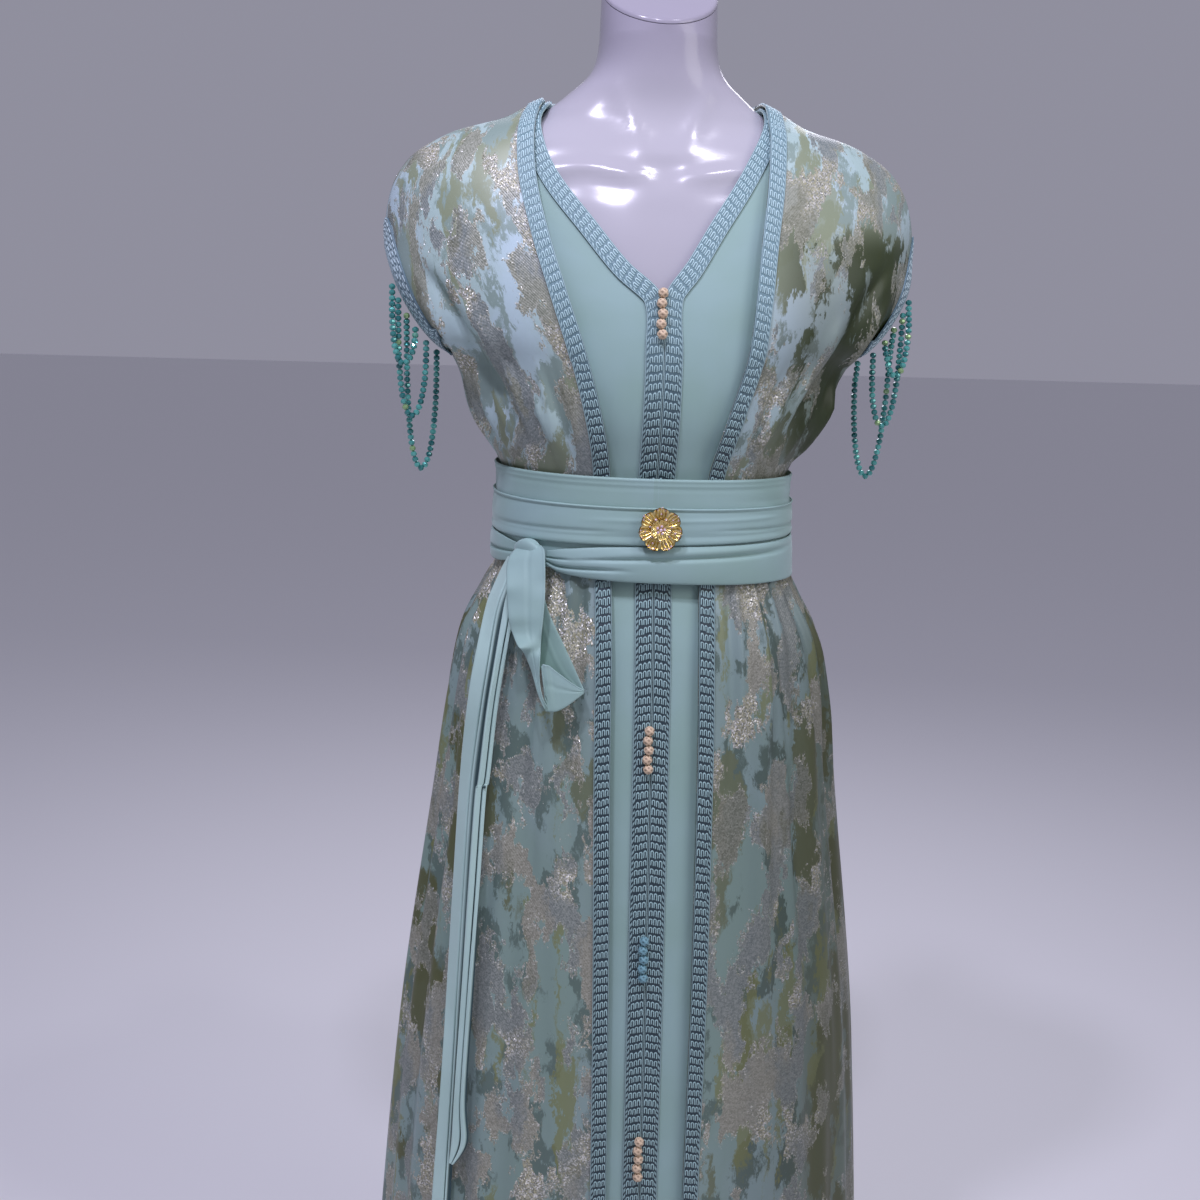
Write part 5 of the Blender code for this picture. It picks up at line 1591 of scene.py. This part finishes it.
def ribbon(name, lines, count, layers, columns, soften, cloth, inner=None):
    """A hanging ribbon on the robe, with its layered profile."""
    cross = refined(lines, count)
    shares = np.linspace(0.0, 1.0, columns)
    ends = []
    for side in EDGE_SHARES:
        depth = [forward_point(robe_tree, mix(row[0], row[2], side), mix(row[1], row[3], side), row[4]).y
                 for row in cross]
        ends.append(eased_along(np.array(depth), soften))
    slope = (ends[1] - ends[0]) / (EDGE_SHARES[1] - EDGE_SHARES[0])
    start = ends[0] - EDGE_SHARES[0] * slope
    grid = np.stack((
        cross[:, 0:1] + (cross[:, 2:3] - cross[:, 0:1]) * shares,
        start[:, None] + slope[:, None] * shares,
        cross[:, 1:2] + (cross[:, 3:4] - cross[:, 1:2]) * shares,
    ), axis=2)
    lift = np.interp(shares, [p[0] for p in layers], [p[1] for p in layers])
    out = normals_of(grid)
    out *= np.sign(-out[0, 0, 1])
    grid = grid + out * lift[None, :, None]
    # Painted shade: dark in the grooves between layers, and a darker green on the loop's inner face, most at
    # its left edge
    groove_shade = np.broadcast_to(ease((0.0002 - lift) / 0.0020), grid.shape[:2])
    place = np.linspace(0.0, len(lines) - 1.0, count)[:, None]
    behind = np.zeros(grid.shape[:2]) if inner is None else ease(place - inner) * np.ones(columns)
    if inner is not None:
        behind = behind * mix(1.0, 0.25, shares)
    cut = {**cloth_map(grid), "fold": (groove_shade, behind)}
    piece = grid_object(name + "_cloth", grid, cloth, wall=RIBBON_WALL, maps=cut, outward=out)
    dress_with(piece, name)
    return piece, grid


for name, table, count, layers in (
    ("sash_tail_long", TAIL_LONG, 220, LONG_LAYERS),
    ("sash_tail_short", TAIL_SHORT, 170, SHORT_LAYERS),
):
    lines = [(left, height, right_x, height, stand) for height, left, right_x, stand in table]
    ribbon(name, lines, count, layers, 60, 8, lit_sash_crepe)
ribbon("sash_bow", BOW_LINES, 260, BOW_LAYERS, 32, 3, crepe, BOW_INNER)

# %% [markdown]
# ## The knot
# The knot is one turn of the same cloth wrapped tightly over the others. A rounded
# form with slanting ridges that die out at its ends reads as that wrap.

# %% Knot
KNOT_TURN = -48.0
KNOT_HEIGHT = 1.0650
KNOT_SIZE = (0.0178, 0.0066, 0.0122)
KNOT_STAND = 0.0108
KNOT_MESH = 0.0012


def knot_grid(around, along):
    """A rounded wrap with slanting folds, as a closed grid."""
    grid = []
    for i in range(along + 1):
        lift = mix(-QUARTER_TURN, QUARTER_TURN, i / along)
        row = []
        for j in range(around):
            turn = FULL_TURN * j / around
            fold = 0.5 + 0.5 * math.cos(5.0 * turn + 2.4 * math.sin(lift) + 0.6)
            reach = 1.0 + 0.10 * (fold**0.6 - 0.5) * math.cos(lift)
            square = 1.0 + 0.12 * math.sin(2.0 * turn) ** 2
            row.append((
                KNOT_SIZE[0] * math.sin(lift),
                KNOT_SIZE[1] * 1.05 * reach * math.cos(turn) * math.cos(lift) * square,
                KNOT_SIZE[2] * 1.03 * reach * math.sin(turn) * math.cos(lift) * square,
            ))
        grid.append(row)
    return np.array(grid)


knot_centre = round_point(ROBE_LEVELS, math.radians(KNOT_TURN), KNOT_HEIGHT, KNOT_STAND)
facing = np.array(Matrix.Rotation(math.atan2(knot_centre.x, -knot_centre.y), 3, "Z"))
knot = knot_grid(around=64, along=32)
radial = knot / np.maximum(np.linalg.norm(knot, axis=2, keepdims=True), 1e-9)
placed = knot @ facing.T + np.array(knot_centre)
down, across = np.indices(knot.shape[:2]) * KNOT_MESH
cut = {"cloth": (across, down)}
knot_piece = grid_object("sash_knot_cloth", placed, crepe, closed=True, maps=cut, outward=radial @ facing.T)
dress_with(knot_piece, "sash_knot")
print("knot at", [round(v, 3) for v in knot_centre])

# %% [markdown]
# ## Knot buttons
# The buttons are small balls knotted from cord. A ball with two families of slanting
# ridges, one passing over the other in turn, looks like that knot at this size. The
# hollows between the strands are painted darker, as shade. Five balls make a group,
# and each group is one mesh.

# %% Knot cords
def cord_material(name, dark, pale):
    """Cord for a knot: pale on the strands, with painted shade between them."""
    material, tree, shader = new_material(name, Roughness=0.5, Sheen_Weight=0.2)
    # Painted shade: the lower the cord between the strands, the darker it is painted
    depth = parts_of(map_place(tree))[1]
    strands = noise(solid_place(tree), 900.0)[0]
    share = times(depth, maths("ADD", 0.75, times(strands, 0.4)))
    paint_with(shader, blend(share, dark, pale))
    roughen(shader, strands, 0.3, 0.0004)
    return material


knot_cords = {
    "peach_knots": cord_material("peach_knot_cord", tint(112, 88, 68), tint(238, 212, 178)),
    "aqua_braid": cord_material("teal_knot_cord", tint(30, 66, 76), tint(128, 176, 186)),
}
print("cords", list(knot_cords))

# %% [markdown]
# ## The button groups
# The balls sit on the dress's left braid, one below the other and not quite in line,
# as hand-sewn buttons do. Each is turned a little differently.

# %% Knot buttons
BUTTON_GROUPS = (
    ("buttons_neck", 1.2837, "peach_knots"),
    ("buttons_hip", 0.8930, "peach_knots"),
    ("buttons_thigh", 0.6965, "aqua_braid"),
    ("buttons_knee", 0.5010, "peach_knots"),
)
BUTTON_X = -0.0055
BUTTON_RADIUS = 0.0047
BUTTON_PITCH = 0.0088
BUTTON_ASIDE = (0.0004, -0.0007, 0.0006, -0.0004, 0.0008)
BALL_AROUND = 32
BALL_RINGS = 20


def knotted_ball(centre, radius, number):
    """The points and the cord depth of one knotted ball."""
    points, depth = [], []
    for i in range(BALL_RINGS + 1):
        lift = mix(-QUARTER_TURN, QUARTER_TURN, i / BALL_RINGS)
        row, shade = [], []
        for j in range(BALL_AROUND):
            turn = FULL_TURN * j / BALL_AROUND
            one = math.cos(2.0 * turn + 2.6 * lift + 1.3 * number)
            two = math.cos(2.0 * turn - 2.6 * lift + 0.7 * number)
            over = max(abs(one) ** 1.3, 0.85 * abs(two) ** 1.3)
            reach = radius * (0.80 + 0.22 * over)
            row.append((centre[0] + reach * math.cos(lift) * math.cos(turn),
                        centre[1] + reach * math.cos(lift) * math.sin(turn),
                        centre[2] + reach * 0.96 * math.sin(lift)))
            shade.append(over)
        points.append(row)
        depth.append(shade)
    return np.array(points), np.array(depth)


lift_of_braid = BRAID_LIFT + CORD_HEIGHT
for name, height, slot in BUTTON_GROUPS:
    parts = []
    for k, aside in enumerate(BUTTON_ASIDE):
        z = height + (k - 2) * BUTTON_PITCH
        front = skin_point(DRESS_LEVELS, BUTTON_X, z, -1)
        centre = (BUTTON_X + aside, front.y - lift_of_braid - BUTTON_RADIUS * 0.80, z)
        ball, depth = knotted_ball(centre, BUTTON_RADIUS, k)
        parts.append(grid_object(f"{name}_{k}", ball, knot_cords[slot], closed=True,
                                 maps={"cloth": (depth, depth)}, outward=ball - np.array(centre)))
    dress_with(join_pieces(name + "_knots", parts), name)
print("button groups", len(BUTTON_GROUPS))

# %% [markdown]
# ## Gold and stones
# The brooch is cast metal with small pink stones. The grooves between a petal's ribs
# are painted dark, as shade, and its rim is paler. Both are worked out from a map on
# the petal, across it and along it.

# %% Gold and stone
PETAL_RIBS = 5

gold, tree, shader = new_material("flower_gold", Metallic=1.0, Roughness=0.24)
patina = noise(solid_place(tree), 420.0, 3.0)[0]
across_petal, along_petal, _ = parts_of(map_place(tree, "petal"))
rib = maths("COSINE", times(across_petal, 0.5 * PETAL_RIBS * math.pi))
# Painted shade in the grooves between the ribs
groove_shade = rest_of(step_up(maths("ABSOLUTE", rib), 0.15, 0.55))
groove_shade = times(groove_shade, step_up(along_petal, 0.10, 0.30))
yellow = blend(step_up(patina, 0.35, 0.65), tint(222, 190, 104), tint(250, 230, 164))
yellow = blend(step_up(along_petal, 0.90, 0.97), yellow, tint(246, 236, 226))
paint_with(shader, blend(groove_shade, yellow, tint(84, 58, 20)))
roughen(shader, patina, 0.25, 0.0003)

stone, tree, shader = new_material("rose_stone", Roughness=0.05, Coat_Weight=1.0)
cloud = noise(solid_place(tree), 500.0)[0]
paint_with(shader, blend(cloud, tint(206, 160, 186), tint(250, 236, 246)))
print("made", gold.name, "and", stone.name)

# %% [markdown]
# ## The petals of the brooch
# Seven cupped petals with ribs make the flower, and five smaller ones lie over them.
# A petal is a little grid, bent up at its rim, with the ribs as ridges across it.
# Turned copies make the rings.

# %% Petals
BROOCH_HEIGHT = 1.0943
PETAL_ROWS = 20
PETAL_COLUMNS = 40
METAL_WALL = 0.0006
# How many, root, tip, half width, lift, cup, how far in front, turn of the first
PETAL_RINGS = (
    (7, 0.003, 0.0198, 0.0077, 0.002, 0.0024, 0.0026, 0.0),
    (5, 0.001, 0.0096, 0.0046, 0.002, 0.0016, 0.0056, 0.4),
)
brooch_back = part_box("brooch")[1][1]


def petal_grid(root, tip, width, lift, cup):
    """A ribbed petal along +Z, in the plane of X and Z, standing out along -Y."""
    grid = []
    for i in range(PETAL_ROWS + 1):
        t = math.sin(0.5 * math.pi * i / PETAL_ROWS)
        round_tip = max(0.0, (t - 0.62) / 0.38)
        half = width * (0.30 + 0.70 * ease(t / 0.80)) * math.sqrt(max(0.02, 1.0 - round_tip**2.8))
        row = []
        for j in range(PETAL_COLUMNS + 1):
            s = 2.0 * j / PETAL_COLUMNS - 1.0
            rib = abs(math.cos(0.5 * PETAL_RIBS * math.pi * s))
            rib = 0.0011 * rib * min(1.0, t / 0.3) * (1.0 - 0.5 * t**6)
            rise = lift * t**0.8 + cup * abs(s) ** 3 * min(1.0, t / 0.5) + rib + 0.0012 * t**8
            row.append((half * s, -rise, mix(root, tip, t)))
        grid.append(row)
    return np.array(grid)


brooch_parts = []
for count, root, tip, width, lift, cup, base, start in PETAL_RINGS:
    for k in range(count):
        turn = FULL_TURN * k / count + start
        petal = petal_grid(root, tip, width, lift, cup)
        spin = np.array(Matrix.Rotation(turn, 3, "Y"))
        petal = petal @ spin.T + np.array((0.0, brooch_back - base, BROOCH_HEIGHT))
        out = np.broadcast_to(np.array((0.0, -1.0, 0.0)), petal.shape)
        t, s = np.meshgrid(np.linspace(0.0, 1.0, petal.shape[0]), np.linspace(-1.0, 1.0, petal.shape[1]),
                           indexing="ij")
        part = grid_object(f"petal_{count}_{k}", petal, gold, maps={"petal": (s, t)}, outward=out)
        solid = part.modifiers.new("metal", "SOLIDIFY")
        solid.thickness = METAL_WALL
        solid.offset = 1.0
        brooch_parts.append(part)
graph = bpy.context.evaluated_depsgraph_get()
for part in brooch_parts:
    solid_mesh = bpy.data.meshes.new_from_object(part.evaluated_get(graph))
    part.modifiers.clear()
    part.data = solid_mesh
print("petals", len(brooch_parts))

# %% [markdown]
# ## The stones of the brooch
# Small cut stones stand in the middle and along the petals, a little unevenly. A
# round plate behind the flower holds it all together, and everything is joined.

# %% Stones and plate
STONE_RING = 0.0034
# Turn beside the petal's middle, distance from the centre, radius, how far in front
PETAL_STONES = (
    (-0.19, 0.0184, 0.001, 0.0064), (0.03, 0.0192, 0.0011, 0.006), (0.2, 0.0182, 0.001, 0.0064),
    (0.06, 0.014, 0.0009, 0.0058), (0.45, 0.01, 0.0011, 0.0066),
)


def put_form(name, form, centre, material):
    """An object from a form that was modelled about the origin."""
    bmesh.ops.translate(form, vec=centre, verts=form.verts[:])
    mesh = bpy.data.meshes.new(name)
    form.to_mesh(mesh)
    form.free()
    mesh.materials.append(material)
    return put_in(name, mesh)


def faceted_stone(name, turn, reach, depth, radius):
    """A small cut stone at a turn and a distance from the brooch's centre."""
    form = bmesh.new()
    bmesh.ops.create_icosphere(form, subdivisions=1, radius=radius)
    bmesh.ops.scale(form, vec=(1.0, 0.8, 1.0), verts=form.verts[:])
    centre = (reach * math.sin(turn), brooch_back - depth, BROOCH_HEIGHT + reach * math.cos(turn))
    return put_form(name, form, centre, stone)


draw = random.Random(5)
stones = [faceted_stone("stone_middle", 0.0, 0.0, 0.0092, 0.0017)]
for k in range(5):
    stones.append(faceted_stone(f"stone_inner_{k}", FULL_TURN * k / 5 + 0.2, STONE_RING, 0.0086, 0.0014))
for k in range(7):
    for aside, reach, size, depth in PETAL_STONES:
        spot = FULL_TURN * k / 7 + aside + draw.uniform(-0.04, 0.04)
        size *= draw.uniform(0.85, 1.2)
        stones.append(faceted_stone(f"stone_outer_{k}", spot, reach, depth, size))
form = bmesh.new()
bmesh.ops.create_cone(form, cap_ends=True, segments=28, radius1=0.0110, radius2=0.0100, depth=0.0022)
bmesh.ops.rotate(form, matrix=Matrix.Rotation(QUARTER_TURN, 3, "X"), verts=form.verts[:])
disc = put_form("brooch_disc", form, (0.0, brooch_back - 0.0012, BROOCH_HEIGHT), gold)
brooch = join_pieces("flower_brooch", [disc] + brooch_parts + stones)
dress_with(brooch, "brooch")
print("brooch faces", len(brooch.data.polygons))

# %% [markdown]
# ## Cut glass
# The beads are cut glass in teal and sea green, with a few of a warmer green. One
# material serves them all: each bead carries two random numbers in its map, one for
# its depth of colour and one that picks the few warm ones.

# %% Glass
glass, tree, shader = new_material("teal_cut_glass", Roughness=0.08, Coat_Weight=0.6, Metallic=0.35)
deep, odd, _ = parts_of(map_place(tree))
hue = blend(deep, tint(38, 112, 114), tint(104, 188, 178))
paint_with(shader, blend(step_up(odd, 0.93, 0.96), hue, tint(150, 184, 128)))
print("made", glass.name)

# %% [markdown]
# ## A strand of beads
# Each bead is a flattened ball with a few facets, turned along the strand by chance.
# The beads touch, so the thread through them isn't seen and isn't made. Rings of
# points with faces between them are enough for so small a thing.

# %% One strand
BEAD_RADIUS = 0.0031
BEAD_PITCH = 0.0053
BEAD_SIDES = 8
# Rings of a bead: how far along it as a share of the pitch, how wide
BEAD_RINGS = ((-0.48, 0.40), (-0.27, 0.88), (0.0, 1.0), (0.27, 0.88), (0.48, 0.40))
BEAD_FACES = (len(BEAD_RINGS) - 1) * BEAD_SIDES + 2


def capped_faces(rings, count, start=0):
    """The faces of a closed body through rings, whose points are numbered from start."""
    faces = (grid_faces(rings, count, closed=True) + start).tolist()
    top = start + (rings - 1) * count
    return faces + [list(range(start, start + count))[::-1], list(range(top, top + count))]


def bead_mesh(points, radius, seed):
    """Faceted beads side by side along points."""
    draw = random.Random(seed)
    path = np.array(points)
    run = np.concatenate(([0.0], np.cumsum(np.linalg.norm(np.diff(path, axis=0), axis=1))))
    count = int(run[-1] / BEAD_PITCH)
    verts, faces, shades = [], [], []
    for k in range(count):
        on_path = (k + 0.5) / count * run[-1]
        before, here, after = points_at(path, run, on_path + np.array((-0.001, 0.0, 0.001)))
        axis = Vector(after - before).normalized()
        first = axis.cross(Vector((0.3, 1.0, 0.2))).normalized()
        second = axis.cross(first)
        spin = draw.uniform(0.0, 1.0)
        shade = (draw.random(), draw.random())
        faces += capped_faces(len(BEAD_RINGS), BEAD_SIDES, len(verts))
        shades += [shade] * BEAD_FACES
        for along_axis, wide in BEAD_RINGS:
            for j in range(BEAD_SIDES):
                turn = FULL_TURN * (j + spin) / BEAD_SIDES
                verts.append(Vector(here) + axis * (along_axis * BEAD_PITCH)
                             + (first * math.cos(turn) + second * math.sin(turn)) * radius * wide)
    return verts, faces, shades


print("faces of a bead", BEAD_FACES)

# %% [markdown]
# ## The strands at the armholes
# Three strands hang in loops from each armhole, one below the other. Each starts and
# ends on the edge of the cuff braid and hangs down between, like a soft U. All the
# beads of one side are one mesh.

# %% Bead strands
STRIP_OFF = 0.0038
BEAD_DROP = 0.0012
# Where a strand starts and ends on the edge, its lowest height, how far it hangs forward
BEAD_LOOPS = (
    (0.04, 0.6, 1.233, 0.0075),
    (0.22, 0.8, 1.185, 0.0),
    (0.42, 0.98, 1.135, -0.0075),
)
EDGE_RISE = (0.13, 0.26, 0.39, 0.52, 0.64, 0.75, 0.85, 0.94, 1.0)
LOOP_STEPS = 60
bead_total = 0
for side, sign, seed in (("left", -1.0, 60), ("right", 1.0, 70)):
    grid = front_panel(ROBE, side, [UNDERARM], EDGE_RISE, [float(ROBE.last)])
    edge = [Vector(point) for point in grid[:, 0]]
    path = []
    for i in range(6, 0, -1):
        run = (edge[i - 1] - edge[i + 1]).normalized()
        down = Vector((sign * -run.z, 0.0, sign * run.x)).normalized()
        path.append(edge[i] + (down if down.z < 0.0 else -down) * STRIP_OFF)

    def on_strip(share):
        place_on = share * (len(path) - 1)
        i = min(int(place_on), len(path) - 2)
        return path[i].lerp(path[i + 1], place_on - i)

    verts, faces, shades = [], [], []
    for n, (start, end, lowest, stand) in enumerate(BEAD_LOOPS):
        a, b = on_strip(start), on_strip(end)
        points = []
        for i in range(LOOP_STEPS + 1):
            t = i / LOOP_STEPS
            turn = math.pi * t
            x = mix(a.x, b.x, 0.5 - 0.5 * math.cos(turn))
            top = mix(a.z, b.z, t)
            z = mix(top, lowest, math.sin(turn) ** 0.7) - BEAD_DROP
            y = mix(a.y, b.y, t) - stand * float(ease((top - z) / 0.03))
            points.append((x, y, z))
        more, loops, tones = bead_mesh(points, BEAD_RADIUS, seed + n)
        faces += [tuple(k + len(verts) for k in face) for face in loops]
        verts += more
        shades += tones
        bead_total += len(tones) // BEAD_FACES
    mesh = bpy.data.meshes.new(f"bead_loops_{side}")
    mesh.from_pydata([tuple(v) for v in verts], [], faces)
    layer = mesh.uv_layers.new(name="cloth")
    for face, shade in zip(mesh.polygons, shades):
        for corner in face.loop_indices:
            layer.data[corner].uv = shade
    mesh.materials.append(glass)
    dress_with(put_in(f"bead_loops_{side}", mesh), f"bead_strands_{side}")
print("beads", bead_total)

# %% [markdown]
# ## The white gloss
# The form is a glossy white body without limbs, on a steel pole and a round foot. Its
# lacquer is smooth but not quite even, so a wide, faint bump bends its highlights. Its
# neck is painted darker, as shade.

# %% White gloss
gloss, tree, shader = new_material("white_gloss_body", Roughness=0.17, Specular_IOR_Level=0.34)
place = solid_place(tree)
lit = blend(noise(place, 6.0)[0], tint(179, 177, 185), tint(188, 186, 194))
# Painted shade: the neck is painted darker than the body
neck = step_up(parts_of(place)[2], 1.44, 1.54)
paint_with(shader, blend(neck, lit, tint(160, 156, 169)))
roughen(shader, noise(place, 14.0, 1.0)[0], 0.15, 0.002)
print("made", gloss.name)

# %% [markdown]
# ## The dress form
# A gloss surface shows every flat facet, so the torso is made again as a smooth grid
# on the same sections, with the collar bones, the notch between them and the breast
# bone modelled into its front. The neck ends in a slanting cap.

# %% Dress form
# Height, half the width, depth in front, depth behind
FORM_LEVELS = in_metres((
    (800, 150, 115, 115), (880, 155, 118, 115), (950, 149, 116.5, 106), (1020, 136, 111, 94),
    (1090, 128.5, 110.5, 88), (1150, 131, 112, 90), (1200, 143, 123, 100), (1250, 158, 127, 106.5),
    (1300, 164, 120, 110.5), (1340, 169, 109, 110.5), (1375, 177, 96, 107), (1400, 181, 85, 101),
    (1420, 179, 75.5, 93.5), (1431, 169, 69.5, 87), (1440, 144, 64.5, 80.5),
    (1453, 115.5, 59, 72.5), (1463, 104, 56, 67.2), (1470, 94, 54.7, 62.5),
    (1476, 86.5, 54.1, 60.4), (1484, 77, 53.7, 59.2), (1492, 67.5, 53.4, 57.8),
    (1502, 60.2, 52.8, 56.2), (1514, 56.2, 52.4, 55.2), (1530, 54.2, 52.3, 54.5),
))
NECK_TOP = 1.5690
NECK_RADIUS = (0.0535, 0.0525)
NECK_SLANT = 0.64
CAP_HEIGHT = 0.005
FORM_AROUND = 112

FORM_ROWS = 180
NECK_ROWS = 12


def neck_ring(rise, shrink):
    """A ring of the slanting top of the neck."""
    ring = []
    for i in range(FORM_AROUND):
        turn = FULL_TURN * i / FORM_AROUND
        x = (NECK_RADIUS[0] - shrink) * math.sin(turn)
        y = -(NECK_RADIUS[1] - shrink) * math.cos(turn)
        ring.append((x, y, NECK_TOP + rise + NECK_SLANT * y))
    return ring


def closed_body(name, rings, material):
    """A smooth closed body through rings, flat at each end."""
    verts = [tuple(point) for ring in rings for point in ring]
    mesh = bpy.data.meshes.new(name)
    mesh.from_pydata(verts, [], capped_faces(len(rings), len(rings[0])))
    mesh.shade_smooth()
    mesh.set_sharp_from_angle(angle=math.radians(50.0))
    mesh.materials.append(material)
    return put_in(name, mesh)


def modelling(x, z):
    """How far the front of the form stands out: collar bones, notch and breast bone."""
    side = abs(x)
    bone_line = 1.4020 + 0.16 * max(0.0, side - 0.018) - 0.3 * max(0.0, side - 0.07)
    bone = 0.0026 * math.exp(-(((z - bone_line) / 0.0065) ** 2)) * float(ease((side - 0.010) / 0.02))
    bone *= float(ease((0.145 - side) / 0.05))
    under = -0.0012 * math.exp(-(((z - bone_line + 0.016) / 0.010) ** 2)) * float(ease((side - 0.02) / 0.03))
    notch = -0.0034 * math.exp(-((x / 0.013) ** 2) - (((z - 1.4090) / 0.012) ** 2))
    breast = -0.0016 * math.exp(-((x / 0.016) ** 2))
    breast *= float(ease((1.395 - z) / 0.03) * ease((z - 1.26) / 0.04))
    cord = 0.0022 * math.exp(-(((side - 0.012 - 0.42 * (z - 1.412)) / 0.008) ** 2))
    cord *= float(ease((z - 1.408) / 0.02) * ease((1.500 - z) / 0.05))
    return bone + under * float(ease((0.13 - side) / 0.04)) + notch + breast + cord


rings = []
lowest, highest = FORM_LEVELS[0][0], FORM_LEVELS[-1][0]
for i in range(FORM_ROWS + 1):
    height = mix(lowest, highest, i / FORM_ROWS)
    ring = []
    for j in range(FORM_AROUND):
        point = round_point(FORM_LEVELS, FULL_TURN * j / FORM_AROUND, height, 0.0)
        if point.y < 0.0:
            point.y -= modelling(point.x, height) * float(ease(-point.y / 0.02))
        ring.append(tuple(point))
    rings.append(ring)
top_ring, neck_end = np.array(rings[-1]), np.array(neck_ring(0.0, 0.0))
for share in shares_to_one(NECK_ROWS):
    rings.append(mix(top_ring, neck_end, share).tolist())
torso = closed_body("form_torso_gloss", rings, gloss)
cap_rings = [neck_ring(0.0004, 0.0006), neck_ring(0.0010, 0.0), neck_ring(CAP_HEIGHT * 0.60, 0.0),
             neck_ring(CAP_HEIGHT * 0.90, 0.0010), neck_ring(CAP_HEIGHT, 0.0035)]
cap = closed_body("form_neck_cap_gloss", cap_rings, gloss)
for piece, label in ((torso, "form_torso"), (cap, "form_neck_cap")):
    dress_with(piece, label)
print("form faces", len(torso.data.polygons))

# %% [markdown]
# ## The stand
# The pole and the foot are plain turned steel. They keep their measured shape and
# only get a brushed finish: a noise stretched along the height makes the fine lines.

# %% Steel stand
steel, tree, shader = new_material("brushed_steel_stand", Metallic=1.0, Roughness=0.32)
stretched = node(tree, "Mapping", {0: solid_place(tree), 3: (1.0, 1.0, 0.02)}).outputs[0]
lines = noise(stretched, 900.0)[0]
paint_with(shader, blend(lines, tint(168, 170, 174), tint(202, 204, 208)))
roughen(shader, lines, 0.15, 0.0003)
for label in ("form_pole", "form_base"):
    for material_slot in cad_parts[label].material_slots:
        material_slot.material = steel
print("made", steel.name)
